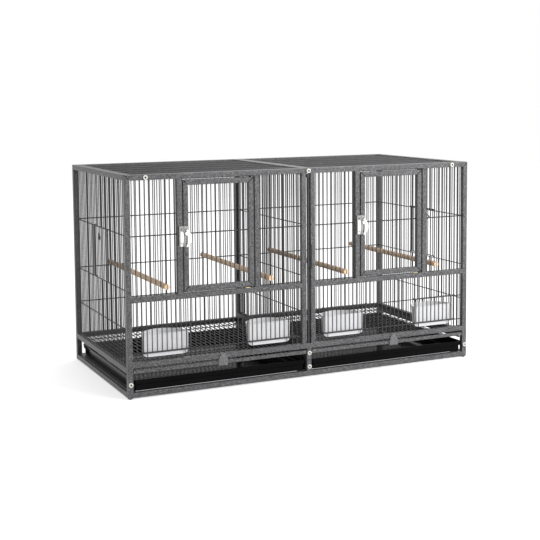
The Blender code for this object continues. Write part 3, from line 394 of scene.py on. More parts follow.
# a real mitre weld is ground to a hairline; it is drawn 2 mm wide so that it shows
mitre = {"seam": 0.0010, "sleeve": 0.0045}
doorLip = {"high": 0.0019, "thick": 0.0015}
ledge = {"wide": 0.010, "thick": 0.0017, "gap": 0.0003, "weld": 0.001, "back": 0.0018, "skirt": 0.0072}


def mitredTube(bm, low, high, cuts):
    # the tube proper, open by a seam at its mitres, and a smaller one inside that closes the view into it
    squareTube(bm, low, high, [(corner - outward * mitre["seam"], outward) for corner, outward in cuts])
    inset = Vector((mitre["sleeve"],) * 3)
    near, far = (Vector(pick(pair) for pair in zip(low, high)) for pick in (min, max))
    squareTube(bm, near + inset, far - inset)


def frontFrame():
    bm = bmesh.new()
    half, high = cage["half"], cage["high"]
    y0, y1 = cage["front"], cage["frontInner"]
    railCuts = []
    for side in (-1, 1):
        corner, up = Vector((side * postX, frontWire, topRail)), Vector((side, 0, -1)).normalized()
        mitredTube(bm, (side * postX, y0, cage["low"]), (side * half, y1, high), [(corner, -up)])
        railCuts.append((corner, up))
    mitredTube(bm, (-half, y0, topRail), (half, y1, high), railCuts)
    for low, top in (rails["base"], rails["panel"]):
        squareTube(bm, (-postX - fit, y0, low), (postX + fit, y1, top))
    squareTube(bm, (-tube / 2, y0, baseTop - fit), (tube / 2, y1, cage["panelRail"] + fit))
    for side in (-1, 1):
        squareTube(bm, (side * cage["slot"], y0, panelTop - fit), (side * cage["stile"], y1, topRail + fit))
        squareTube(bm, (side * (cage["stile"] - fit), y0, cage["midRail"]), (side * (postX + fit), y1, midTop))
        for x in (doorIn - tube, doorOut):
            squareTube(bm, (side * x, y0, midTop - fit), (side * (x + tube), y1, topRail + fit))
        # rain lip behind the gap over each door
        lipFoot = (side * (doorIn - fit), y1 - doorLip["thick"], topRail - doorLip["high"])
        flatBar(bm, lipFoot, (side * (doorOut + fit), y1, topRail + fit))
    finishPiece("frontFrame", bm, "frame", nodes=["front_frame"])


def backFrame():
    bm = bmesh.new()
    y0, y1 = cage["backInner"], cage["back"]
    for side in (-1, 1):
        squareTube(bm, (side * postX, y0, cage["low"]), (side * cage["half"], y1, cage["high"]))
    for low, high in (rails["base"], rails["side"], rails["top"]):
        squareTube(bm, (-postX - fit, y0, low), (postX + fit, y1, high))
    for low, high in ((baseTop, cage["sideRail"]), (sideTop, topRail)):
        squareTube(bm, (-tube / 2, y0, low - fit), (tube / 2, y1, high + fit))
    finishPiece("backFrame", bm, "frame", nodes=["back_panel"])


railNear, railFar = cage["frontInner"] + fit, cage["backInner"] - fit
ledgeNear, ledgeFar = railNear + ledge["back"], railFar - ledge["back"]


def sideRails(name, side):
    bm = bmesh.new()
    for low, high in (rails["side"], rails["top"]):
        squareTube(bm, (side * postX, railNear, low), (side * cage["half"], railFar, high))
    # angle strip under the rail: its foot carries the grate, and its web hangs a little below
    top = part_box(name + "_floor_grate")[0].z - ledge["gap"]
    low, web = top - ledge["thick"], side * (postX + ledge["thick"])
    flatBar(
        bm, (side * postX, ledgeNear, low - ledge["skirt"]), (web, ledgeFar, cage["sideRail"] + ledge["weld"])
    )
    flatBar(bm, (side * (postX - ledge["wide"]), ledgeNear, low), (web, ledgeFar, top))
    finishPiece(name + "SideRails", bm, "frame", nodes=[name + "_side_panel"])


def baseRails():
    low, high = baseTop - ledge["weld"], baseTop + ledge["thick"]
    for name, side in sides.items():
        bm = bmesh.new()
        squareTube(bm, (side * postX, railNear, cage["low"]), (side * cage["half"], railFar, baseTop))
        foot = (side * (postX - ledge["wide"]), ledgeNear, low)
        flatBar(bm, foot, (side * (postX + tube / 2), ledgeFar, high))
        finishPiece(name + "BaseRail", bm, "frame", nodes=[name + "_base_rail"])
    bm = bmesh.new()
    for bottom, top in (rails["base"], rails["panel"]):
        squareTube(bm, (-tube / 2, railNear, bottom), (tube / 2, railFar, top))
    web, reach = ledge["thick"] / 2, tube / 2 + ledge["wide"]
    flatBar(bm, (-web, ledgeNear, low), (web, ledgeFar, cage["panelRail"] + ledge["weld"]))
    for top in (high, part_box("left_floor_grate")[0].z - ledge["gap"]):
        flatBar(bm, (-reach, ledgeNear, top - ledge["thick"]), (reach, ledgeFar, top))
    finishPiece("centreRunner", bm, "frame", nodes=["centre_runner"])
    bm = bmesh.new()
    squareTube(bm, (-tube / 2, railNear, topRail), (tube / 2, railFar, cage["high"]))
    finishPiece("topCentreRail", bm, "frame", nodes=["top_centre_rail"])


def uprightGrid(bm, columns, low, high, plane, crossY, crosses):
    for x in columns:
        straightWire(bm, (x, plane, low), (x, plane, high))
    for start, end, level in crosses:
        straightWire(bm, (start, crossY, level), (end, crossY, level), cage["crossWire"])
        for x in columns:
            if min(start, end) < x < max(start, end):
                weldSpot(bm, (x, (plane + crossY) / 2, level))


grille = {"margin": 0.002}


def upperGrilles(name, side):
    for place, low, high in (("inner", cage["stile"], doorIn - tube), ("outer", doorOut + tube, postX)):
        bm = bmesh.new()
        columns = [side * x for x in lattice if low + grille["margin"] < x < high - grille["margin"]]
        crosses = [(side * (low - sunk), side * (high + sunk), cage["crossUpper"])]
        uprightGrid(bm, columns, midTop - sunk, topRail + sunk, frontWire, frontWire + lapped, crosses)
        finishPiece(name + place.title() + "Grille", bm, "wire", nodes=[f"{name}_{place}_grille"])


feeder = {
    "sill": 0.105, "head": 0.1697, "pitches": 10, "margin": 2, "cradleWire": 0.001, "cradleBend": 0.004,
    "barInset": 0.008,
}
feederStarts = {"outer": feeder["margin"] - 1, "inner": len(lattice) - feeder["margin"] - feeder["pitches"]}
feeders = {place: (lattice[start + feeder["pitches"]], lattice[start]) for place, start in feederStarts.items()}
bowl = {
    "foot": 0.093, "footDepth": 0.039, "knee": 0.0105, "kneeSteps": 6, "corner": 0.003, "wall": 0.0022,
    "lip": 0.0012, "lipDepth": 0.0024, "lipEdge": 0.0005,
}


def lowerGrille(name, side):
    crossY = frontWire + lapped
    bm = bmesh.new()
    for x in lattice:
        overFeeder = any(near < x < far for near, far in feeders.values())
        foot = feeder["head"] if overFeeder else panelTop - sunk
        straightWire(bm, (side * x, frontWire, foot), (side * x, frontWire, cage["midRail"] + sunk))
        for level in ("head",) if overFeeder else ("head", "sill"):
            weldSpot(bm, (side * x, (frontWire + crossY) / 2, feeder[level]))
    for level in ("head", "sill"):
        start = (side * (cage["stile"] - sunk), crossY, feeder[level])
        straightWire(bm, start, (side * (postX + sunk), crossY, feeder[level]))
    # cradles: each bowl sits on one bent wire hung from the sill
    for place in feeders:
        low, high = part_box(f"{name}_{place}_bowl")
        thick, middle = feeder["cradleWire"], (low.x + high.x) / 2
        x0, x1 = (middle + across * (bowl["foot"] / 2 + thick) for across in (-1, 1))
        under, sill = low.z - ledge["gap"] - thick, feeder["sill"]
        fore, rear = low.y + feeder["barInset"], low.y + bowl["footDepth"] - feeder["barInset"]
        straightWire(bm, (x0, fore, under), (x1, fore, under), thick)
        path = [(x0, crossY, sill), (x0, crossY, under), (x0, rear, under)]
        path += [(x1, y, z) for _, y, z in path[::-1]]
        bentWire(bm, path, thick, feeder["cradleBend"])
    finishPiece(name + "LowerGrille", bm, "wire", nodes=[name + "_lower_grille"])


def backWires():
    bm = bmesh.new()
    for side in (-1, 1):
        columns = [side * x for x in [*lattice, lattice[-1] - wireStep]]
        crosses = [(side * (tube / 2 - sunk), side * (postX + sunk), level) for level in crossLevels]
        uprightGrid(bm, columns, sideTop - sunk, topRail + sunk, backWire, backWire - lapped, crosses)
    finishPiece("backWires", bm, "wire")


nest = {
    "middle": 0.209, "pitches": 10, "overlap": 0.001,
    "strip": 0.013, "stripFace": 0.0014, "stripBack": 0.0004, "stripShort": 0.001, "stripEdge": 0.0003,
    "ringWire": 0.0015, "ringOut": 0.007, "ringLow": 0.355, "ringHigh": 0.371, "ringBulge": 0.0305,
}
nestMiddle = min(range(len(sideLattice)), key=lambda n: abs(sideLattice[n] - cage["front"] - nest["middle"]))
nestNear, nestFar = (sideLattice[nestMiddle + way * nest["pitches"] // 2] for way in (-1, 1))


def sideWires(name, side):
    bm = bmesh.new()
    outer = side * sideWire
    crossX = side * (sideWire - lapped)
    for y in sideLattice:
        ends = [sideTop - sunk, topRail + sunk]
        if nestNear < y < nestFar:
            ends[1:1] = [cage["crossMiddle"] + nest["overlap"], cage["crossUpper"] - nest["overlap"]]
        for low, high in zip(ends[::2], ends[1::2]):
            straightWire(bm, (outer, y, low), (outer, y, high))
    for z in crossLevels:
        straightWire(bm, (crossX, cage["frontInner"] - sunk, z), (crossX, cage["backInner"] + sunk, z))
        for y in sideLattice:
            weldSpot(bm, ((outer + crossX) / 2, y, z))
    finishPiece(name + "SideWires", bm, "wire")


# wires are welded to a thin border, with a stiffening rod in place of every sixth one
topPanel = {
    "bar": 0.008, "barHigh": 0.006, "edge": 0.0008, "drop": 0.0034, "intoBar": 0.002, "crosses": 2,
    "every": 6, "first": 2, "rise": 0.0015, "rod": 0.0019,
}


def wiredTop(name):
    bar, into = topPanel["bar"], topPanel["intoBar"]
    low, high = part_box(name + "_top_panel")
    bm = bmesh.new()
    under = high.z - topPanel["barHigh"]
    for x in (low.x, high.x - bar):
        flatBar(bm, (x, low.y, under), (x + bar, high.y, high.z), topPanel["edge"])
    for y in (low.y, high.y - bar):
        start = (low.x + bar - fit, y, under)
        flatBar(bm, start, (high.x - bar + fit, y + bar, high.z), topPanel["edge"])
    finishPiece(name + "TopBorder", bm, "frame", nodes=[name + "_top_panel"])
    bm = bmesh.new()
    level = high.z - topPanel["drop"]
    rows = evenRows(low.y + bar, high.y - bar)
    for number, y in enumerate(rows):
        rod = number % topPanel["every"] == topPanel["first"]
        z, radius = (level + topPanel["rise"], topPanel["rod"]) if rod else (level, wire)
        straightWire(bm, (low.x + bar - into, y, z), (high.x - bar + into, y, z), radius)
    for x in evenRows(low.x, high.x, topPanel["crosses"] + 1):
        z = level - lapped
        straightWire(bm, (x, low.y + bar - into, z), (x, high.y - bar + into, z))
        for y in rows:
            weldSpot(bm, (x, y, level - lapped / 2))
    finishPiece(name + "TopWires", bm, "wire")


frontFrame()
backFrame()
for sideName, sideSign in sides.items():
    sideRails(sideName, sideSign)
    sideWires(sideName, sideSign)
baseRails()
for build in (upperGrilles, lowerGrille):
    for sideName, sideSign in sides.items():
        build(sideName, sideSign)
backWires()
for sideName in sides:
    wiredTop(sideName)
print("frame and fixed grids built")

door = {
    "gap": 0.003, "pin": 0.002, "pinHalf": 0.006, "washer": 0.0042, "washerHalf": 0.0011,
    "shimLong": 0.013, "shimPast": -0.004, "shimInset": 0.0008, "shimDeep": 0.006, "shimThick": 0.0017,
    "shimSunk": 0.0001, "shimEdge": 0.0002,
}


def mitredDoorFrame(bm, low, high):
    inner = {-1: (low.x + tube, low.z + tube), 1: (high.x - tube, high.z - tube)}
    for way, (x, z) in ((-1, (low.x, low.z)), (1, inner[1])):
        stile, rail = [], []
        for other in (-1, 1):
            corner = Vector((inner[way][0], frontWire, inner[other][1]))
            stile.append((corner, Vector((-way, 0, other)).normalized()))
            corner = Vector((inner[other][0], frontWire, inner[way][1]))
            rail.append((corner, Vector((other, 0, -way)).normalized()))
        mitredTube(bm, (x, low.y, low.z), (x + tube, high.y, high.z), stile)
        mitredTube(bm, (low.x, low.y, z), (high.x, high.y, z + tube), rail)


def frontDoor(name, side):
    half = cage["doorway"] / 2 - door["gap"]
    body, centre = name + "_door", side * halfCentre
    low = Vector((centre - half, cage["front"], midTop + door["gap"]))
    high = Vector((centre + half, cage["frontInner"], topRail - door["gap"]))
    bm = bmesh.new()
    mitredDoorFrame(bm, low, high)
    finishPiece(name + "DoorFrame", bm, "frame", body, [body])
    bm = bmesh.new()
    x0, x1 = low.x + tube, high.x - tube
    ends = low.z + tube - sunk, high.z - tube + sunk
    crosses = [(x0 - sunk, x1 + sunk, cage["crossUpper"])]
    uprightGrid(bm, evenRows(x0, x1), *ends, frontWire, frontWire + lapped, crosses)
    finishPiece(name + "DoorWires", bm, "wire", body)
    # pivot pins with a washer in each hinge gap, and a yellow shim under the lower one
    bm = bmesh.new()
    x = high.x - tube / 2
    turning = ((door["pinHalf"], door["pin"], 12), (door["washerHalf"], door["washer"], 16))
    for z in (midTop + door["gap"] / 2, topRail - door["gap"] / 2):
        for reach, radius, segments in turning:
            straightWire(bm, (x, frontWire, z - reach), (x, frontWire, z + reach), radius, segments)
    finishPiece(name + "DoorPins", bm, "steelAndShade", body)
    bm = bmesh.new()
    right, front = x + door["shimPast"], cage["front"] + door["shimInset"]
    start = (right - door["shimLong"], front, midTop - door["shimSunk"])
    end = (right, front + door["shimDeep"], midTop + door["shimThick"])
    flatBar(bm, start, end, door["shimEdge"])
    finishPiece(name + "HingeShim", bm, "brass")


latch = {
    "shadowPadOut": 0.0026, "shadowPadIn": 0.002, "shadowPadThick": 0.0008, "shadowPadShort": 0.002, "shadowPadEdge": 0.0002,
    "plate": 0.0014, "plateEdge": 0.0003, "screw": 0.0024, "screwOut": 0.0006, "screwEnd": 0.008, "recess": 0.0017,
    "lugTop": 0.0135, "lugLow": 0.0012, "lugLeft": 0.0026, "lugRight": 0.0004, "lugTaper": 0.014, "lugFoot": 0.0045,
    "lugCorner": 0.003, "lugChip": (0.0008, 0.001), "lugEdge": 0.0005,
    "pivotZ": 0.386, "hub": 0.0044, "nail": 0.0022, "blade": 0.0022, "bladeBack": 0.0003, "bladeEdge": 0.0006,
    "bulge": 0.0245, "bladeShift": (-0.012, -0.0115), "waist": 0.0108, "tip": 0.003, "reachAngle": 62, "points": 14,
}


def crescent(centre):
    # two arcs, wide apart in the middle and close together at the tips
    arcs = ([], [])
    for number in range(latch["points"]):
        share = number / (latch["points"] - 1)
        angle = radians(latch["reachAngle"] * (1 - 2 * share))
        narrow = latch["tip"] + (latch["waist"] - latch["tip"]) * sin(pi * share)
        for arc, arm in zip(arcs, (latch["bulge"], latch["bulge"] - narrow)):
            arc.append((centre[0] + arm * cos(angle), centre[1] + arm * sin(angle)))
    return arcs[0] + arcs[1][::-1]


def screwedPlate(node, body, plateName, recessShadeName):
    low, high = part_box(node)
    bm, recessShade = bmesh.new(), bmesh.new()
    face, middle = high.y - latch["plate"], (low.x + high.x) / 2
    crown = face - latch["screwOut"]
    flatBar(bm, (low.x, face, low.z), high, latch["plateEdge"])
    for z in (low.z + latch["screwEnd"], high.z - latch["screwEnd"]):
        straightWire(bm, (middle, high.y, z), (middle, crown, z), latch["screw"], 16)
        # a dark disc on each screw head: painted shade for the screw's recess
        straightWire(recessShade, (middle, face, z), (middle, crown - fit, z), latch["recess"], 6)
    finishPiece(plateName, bm, "plate", body, [node])
    finishPiece(recessShadeName, recessShade, "steelAndShade", body)
    return low, high


def keeperShadowPad(name, low, high):
    # black pad that shows along the keeper's outer edge: painted shadow, where the keeper's shade falls beside it
    bm = bmesh.new()
    start = (low.x - latch["shadowPadOut"], high.y - latch["shadowPadThick"], low.z + latch["shadowPadShort"])
    end = (low.x + latch["shadowPadIn"], high.y + fit, high.z - latch["shadowPadShort"])
    flatBar(bm, start, end, latch["shadowPadEdge"])
    finishPiece(name + "KeeperShadowPad", bm, "nylonAndShadow")


def latchLug(name, low, high):
    # pressed lug that the lever's cam pulls against: wide at the top, drawn in towards its foot
    left, right = low.x + latch["lugLeft"], high.x - latch["lugRight"]
    bottom, top = low.z + latch["lugLow"], high.z - latch["lugTop"]
    chipX, chipZ = latch["lugChip"]
    outline = [
        (left, top), (left, bottom + chipZ), (left + chipX, bottom), (left + latch["lugFoot"], bottom),
        (right, bottom + latch["lugTaper"]), (right, top - latch["lugCorner"]), (right - latch["lugCorner"], top),
    ]
    bm = bmesh.new()
    outlinePlate(bm, outline, low.y, high.y - low.y, latch["lugEdge"])
    finishPiece(name + "LatchLug", bm, "zinc")


def doorLatch(name, side):
    low, high = screwedPlate(name + "_latch_keeper", "cage", name + "LatchKeeper", name + "KeeperRecessShade")
    keeperShadowPad(name, low, high)
    latchLug(name, low, high)
    screwedPlate(name + "_latch_plate", name + "_door", name + "LatchPlate", name + "PlateRecessShade")
    node = name + "_latch_lever"
    low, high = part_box(node)
    x, z = side * halfCentre - cage["doorway"] / 2 + door["gap"] + tube / 2, latch["pivotZ"]
    outline = crescent([value + shift for value, shift in zip((x, z), latch["bladeShift"])])
    bm = bmesh.new()
    outlinePlate(bm, outline, low.y + latch["bladeBack"], latch["blade"], latch["bladeEdge"])
    straightWire(bm, (x, high.y, z), (x, low.y + fit / 2, z), latch["hub"], 24)
    straightWire(bm, (x, high.y, z), (x, low.y, z), latch["nail"], 16)
    finishPiece(name + "LatchLever", bm, "zinc", node, [node])


for build in (frontDoor, doorLatch):
    for sideName, sideSign in sides.items():
        build(sideName, sideSign)
print("doors and latches built")


sliding = {
    "room": 0.0015, "border": 0.0014, "borderBend": 0.004, "spot": 1.25,
    "loop": 0.0024, "loopWire": 0.0012, "loopBend": 0.0006,
}
slidingPlane = -sliding["room"] - sliding["border"]


def slidingGrid(near, far, low, high, columns):
    # laid out with its outside at -Y: a bent wire border, uprights, and a loop round each guide wire
    bm = bmesh.new()
    border, y = sliding["border"], slidingPlane
    inset = sliding["room"] + border
    x0, x1, z0, z1 = near + inset, far - inset, low + border, high - border
    corners = [(x0, y, z0), (x1, y, z0), (x1, y, z1), (x0, y, z1)]
    bentWire(bm, corners, border, sliding["borderBend"], closed=True)
    for x in columns:
        straightWire(bm, (x, y, z0), (x, y, z1))
        for z in (z0, z1):
            weldSpot(bm, (x, y, z), wire * sliding["spot"])
    turns = [radians(angle) for angle in range(0, 360, 45)]
    for guide in (near, far):
        for z in (low + wire, high - wire):
            circle = [(guide + sliding["loop"] * cos(t), sliding["loop"] * sin(t), z) for t in turns]
            bentWire(bm, circle, sliding["loopWire"], sliding["loopBend"], closed=True)
    return bm


def feederDoors(name, side):
    for place, (near, far) in feeders.items():
        body = f"{name}_{place}_feeder_door"
        low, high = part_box(body)
        ends = sorted((side * near, side * far))
        grid = slidingGrid(*ends, low.z, high.z, [side * x for x in lattice if near < x < far])
        bm = bmesh.new()
        joinInto(bm, grid, Matrix.Translation((0, frontWire, 0)))
        finishPiece(name + place.title() + "FeederDoor", bm, "wire", body, [body])


def nestDoor(name, side):
    columns = [y for y in sideLattice if nestNear < y < nestFar]
    body = name + "_nest_door"
    low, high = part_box(body)
    grid = slidingGrid(nestNear, nestFar, low.z, high.z, columns)
    half, short = nest["strip"] / 2, nest["stripShort"]
    start = (nestFar - half, slidingPlane - nest["stripFace"], low.z + short)
    flatBar(grid, start, (nestFar + half, slidingPlane - nest["stripBack"], high.z - short), nest["stripEdge"])
    # D-shaped finger ring, hung on one upright and standing out a little towards its bulge
    hung = columns[len(columns) // 2 + 1]
    level, tall = (nest["ringLow"] + nest["ringHigh"]) / 2, (nest["ringHigh"] - nest["ringLow"]) / 2
    ring = []
    for angle in range(-90, 91, 20):
        share, rise = cos(radians(angle)), sin(radians(angle))
        y = slidingPlane - nest["ringWire"] - nest["ringOut"] * share
        ring.append((hung - nest["ringBulge"] * share, y, level + tall * rise))
    bentWire(grid, ring, nest["ringWire"], closed=True)
    outward = Matrix(((0, -side, 0, side * sideWire), (1, 0, 0, 0), (0, 0, 1, 0), (0, 0, 0, 1)))
    bmesh.ops.transform(grid, matrix=outward, verts=grid.verts)
    bmesh.ops.recalc_face_normals(grid, faces=grid.faces)
    finishPiece(name + "NestDoor", grid, "wire", body, [body])


divider = {
    "bar": 0.004, "barEdge": 0.0009, "setBack": 0.0015, "frontDeep": 0.0065, "intoBar": 0.001,
    "loopLow": 0.278, "loopHigh": 0.341, "loopWire": 0.0014, "loopBend": 0.007,
    "clipHigh": 0.0125, "clipLow": 0.0075, "clipHalf": 0.0038, "clipDeep": 0.0088, "clipProud": 0.0008,
    "clipEdge": 0.0008,
}


def dividerGrid():
    low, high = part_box("divider")
    front, back = cage["front"] + divider["setBack"], high.y
    bar, edge, into = divider["bar"], divider["barEdge"], divider["intoBar"]
    bm = bmesh.new()
    for y, deep in ((front, divider["frontDeep"]), (back - bar, bar)):
        flatBar(bm, (-bar / 2, y, low.z), (bar / 2, y + deep, high.z), edge)
    for z in (low.z + fit, high.z - bar - fit):
        flatBar(bm, (-bar / 2, front + bar - fit, z), (bar / 2, back - bar + fit, z + bar), edge)
    rows = evenRows(front + divider["frontDeep"], back - bar)
    for y in rows:
        straightWire(bm, (0, y, low.z + bar / 2), (0, y, high.z - bar / 2))
    for z in crossLevels:
        straightWire(bm, (lapped, front + into, z), (lapped, back - into, z))
        for y in rows:
            weldSpot(bm, (lapped / 2, y, z))
    root, reach = front + bar / 2, low.y + divider["loopWire"]
    path = [(0, y, divider["loopLow"]) for y in (root, reach)] + [(0, y, divider["loopHigh"]) for y in (reach, root)]
    bentWire(bm, path, divider["loopWire"], divider["loopBend"])
    finishPiece("dividerGrid", bm, "wire", "divider", ["divider"])
    bm = bmesh.new()
    top, half = high.z - fit / 2, divider["clipHalf"]
    outline = [(-half, top), (-half, top - divider["clipLow"]), (half, top - divider["clipHigh"]), (half, top)]
    outlinePlate(bm, outline, front - divider["clipProud"], divider["clipDeep"], divider["clipEdge"])
    finishPiece("dividerCornerClip", bm, "nylonAndShadow", "divider")


for build in (feederDoors, nestDoor):
    for sideName, sideSign in sides.items():
        build(sideName, sideSign)
dividerGrid()
print("sliding doors and divider built")


def roundedOutline(size, corner):
    bm = bmesh.new()
    bmesh.ops.create_grid(bm, x_segments=1, y_segments=1, size=0.5)
    bmesh.ops.scale(bm, vec=(size.x, size.y, 1.0), verts=bm.verts)
    roundOff(bm, bm.verts[:], corner, 6, "VERTICES")
    return bm


def halfRoundOutline(size, corner):
    # a straight front at -Y and half an ellipse behind it
    bm = bmesh.new()
    bmesh.ops.create_circle(bm, cap_ends=True, segments=48, radius=1.0)
    cutAway(bm, (0, 0, 0), (0, -1, 0))
    bmesh.ops.scale(bm, vec=(size.x / 2, size.y, 1.0), verts=bm.verts)
    bmesh.ops.translate(bm, vec=(0, -size.y / 2, 0), verts=bm.verts)
    roundOff(bm, [v for v in bm.verts if abs(v.co.x) > size.x / 2 - 1e-6], corner, 3, "VERTICES")
    return bm


def grownCup(bm, low, high, rings):
    # the outline is extruded through rings of (height, inset at the sides, at the front, at the back),
    # up the outside, over the rim and down the inside
    size = high - low
    face = bm.faces[:][0]
    lower = vertsIn(bmesh.ops.duplicate(bm, geom=[face])["geom"])
    span, centre = Vector((size.x, size.y, 1.0)), Vector((0.0, 0.0, 0.0))
    for number, (height, side, front, back) in enumerate(rings):
        if number:
            grown = bmesh.ops.extrude_face_region(bm, geom=[face])
            bmesh.ops.delete(bm, geom=[face], context="FACES_ONLY")
            face = next(g for g in grown["geom"] if isinstance(g, bmesh.types.BMFace))
        newSpan = Vector((size.x - 2 * side, size.y - front - back, 1.0))
        newCentre = Vector((0.0, (front - back) / 2, height))
        step = Matrix.Diagonal((newSpan.x / span.x, newSpan.y / span.y, 1.0, 1.0))
        place = Matrix.Translation(newCentre) @ step @ Matrix.Translation(-centre)
        bmesh.ops.transform(bm, matrix=place, verts=face.verts)
        if not number:
            bmesh.ops.transform(bm, matrix=place, verts=lower)
        span, centre = newSpan, newCentre
    bmesh.ops.remove_doubles(bm, verts=bm.verts, dist=1e-6)
    bmesh.ops.recalc_face_normals(bm, faces=bm.faces)
    bmesh.ops.translate(bm, vec=((low.x + high.x) / 2, (low.y + high.y) / 2, low.z), verts=bm.verts)
    return bm


def evenRing(rise, inset):
    return (rise, inset, inset, inset)


def bowlRings(size, inset, radius):
    # from the foot round the knee and up the nearly upright wall, set in from the outside by the wall's thickness
    side, back = (size.x - bowl["foot"]) / 2, size.y - bowl["footDepth"]
    rings = []
    for number in range(bowl["kneeSteps"] + 1):
        angle = radians(90 * number / bowl["kneeSteps"])
        swell = radius * sin(angle)
        rings.append((inset + radius * (1 - cos(angle)), side - swell, inset + bowl["lip"], back - swell))
    return rings + [evenRing(size.z - bowl["lipDepth"], inset + bowl["lip"])]


def feederBowl(name, place):
    node = f"{name}_{place}_bowl"
    low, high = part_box(node)
    size, wall, edge = high - low, bowl["wall"], bowl["lipEdge"]
    inside, foot, top = wall + bowl["lip"], size.z - bowl["lipDepth"], size.z
    rings = bowlRings(size, 0.0, bowl["knee"])
    # the rolled lip, from under its edge over the rim and back to the inner wall
    for rise, inset in (
        (foot + edge, edge / 2), (foot + 2 * edge, 0.0), (top - 2 * edge, 0.0), (top - edge / 2, edge / 2),
        (top, 2 * edge), (top, wall), (top - edge / 2, inside - edge), (top - 2 * edge, inside),
    ):
        rings.append(evenRing(rise, inset))
    rings += bowlRings(size, wall, bowl["knee"] - wall)[-2::-1]
    bm = grownCup(halfRoundOutline(size, bowl["corner"]), low, high, rings)
    finishPiece(name + place.title() + "Bowl", bm, "bowl", node, [node])


tray = {
    "wall": 0.0020, "corner": 0.006, "crease": 0.0145, "creaseHigh": 0.0018, "step": 0.0026, "lean": 0.0012,
    "bottom": 0.0025, "bottomSteps": 3, "rimLow": 0.0032, "rimHigh": 0.0028, "rimEdge": 0.0006,
}


def pullOutTray(name):
    wall, lean, edge = tray["wall"], tray["lean"], tray["rimEdge"]
    crease, fold, stepped = tray["crease"], tray["crease"] + tray["creaseHigh"], tray["step"] + tray["lean"]
    # a quarter round between the floor and the wall
    curve = []
    for number in range(tray["bottomSteps"] + 1):
        angle = radians(90 * number / tray["bottomSteps"])
        curve.append((tray["bottom"] * (1 - cos(angle)), stepped + tray["bottom"] * (1 - sin(angle))))
    node = name + "_tray"
    low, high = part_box(node)
    top = high.z - low.z
    profile = [
        *curve, (crease, stepped), (fold, lean), (top - tray["rimLow"], edge / 2), (top - tray["rimHigh"], 0.0),
        (top - edge, 0.0), (top, edge), (top, wall + edge), (top - edge, wall + 2 * edge), (fold, wall + lean),
        (crease, wall + stepped), *[(rise + wall, inset + wall) for rise, inset in reversed(curve)],
    ]
    rings = [evenRing(rise, inset) for rise, inset in profile]
    bm = grownCup(roundedOutline(high - low, tray["corner"]), low, high, rings)
    finishPiece(name + "Tray", bm, "tray", node, [node])


grate = {
    "frontBar": 0.003, "frontEdge": 0.0005, "rimBar": 0.0021, "crosses": 9,
    "tabCrown": 0.0075, "tabShoulder": 0.012, "tabThick": 0.002, "tabEdge": 0.0004,
    "rivet": 0.0022, "rivetIn": 0.001, "rivetOut": 0.0009, "rivetEdge": 0.0006,
}


def floorGrate(name):
    bar, rim = grate["frontBar"], grate["rimBar"]
    body = name + "_floor_grate"
    low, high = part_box(body)
    bm = bmesh.new()
    flatBar(bm, low, (high.x, low.y + bar, high.z), grate["frontEdge"])
    finishPiece(name + "GrateBar", bm, "frame", body, [body])
    bm = bmesh.new()
    top = high.z - rim
    for x in (low.x, high.x - rim):
        flatBar(bm, (x, low.y + bar - fit, top - rim), (x + rim, high.y, top))
    flatBar(bm, (low.x, high.y - rim, top - rim), (high.x, high.y, top))
    level, under = top - wire, top - wire - lapped
    rows = evenRows(low.y, high.y, grate["crosses"] + 1)
    for x in evenRows(low.x, high.x):
        straightWire(bm, (x, low.y + bar - sunk, level), (x, high.y - rim / 2, level))
        for y in rows:
            weldSpot(bm, (x, y, level - lapped / 2))
    for y in rows:
        straightWire(bm, (low.x + rim / 2, y, under), (high.x - rim / 2, y, under))
    finishPiece(name + "GrateWires", bm, "wire", body)
    grateTab(name, body)


def grateTab(name, body):
    # a plate tab with a round top, held by one rivet
    low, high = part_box(name + "_grate_tab")
    middle, crown, shoulder = (low.x + high.x) / 2, grate["tabCrown"], low.z + grate["tabShoulder"]
    z = high.z - crown
    turns = [radians(angle) for angle in range(30, 151, 15)]
    outline = [(low.x, low.z), (high.x, low.z), (high.x, shoulder)]
    outline += [(middle + crown * cos(turn), z + crown * sin(turn)) for turn in turns]
    bm = bmesh.new()
    outlinePlate(bm, outline + [(low.x, shoulder)], low.y, grate["tabThick"], grate["tabEdge"])
    # the tab takes the lighter copy of the hammertone: painted light
    finishPiece(name + "GrateTab", bm, "paintedLightTab", body, [name + "_grate_tab"])
    bm = bmesh.new()
    start, end = (middle, low.y + grate["rivetIn"], z), (middle, low.y - grate["rivetOut"], z)
    straightWire(bm, start, end, grate["rivet"], 16)
    roundOff(bm, [e for e in bm.edges if all(v.co.y < low.y for v in e.verts)], grate["rivetEdge"], 2)
    finishPiece(name + "TabRivet", bm, "plate", body)


for sideName in sides:
    for feederPlace in feeders:
        feederBowl(sideName, feederPlace)
for build in (pullOutTray, floorGrate):
    for sideName in sides:
        build(sideName)
print("bowls, trays and floors built")

perch = {"slot": 0.003, "grown": 0.0006, "neck": 0.55, "neckHalf": 0.0014, "chamfer": 0.0007}


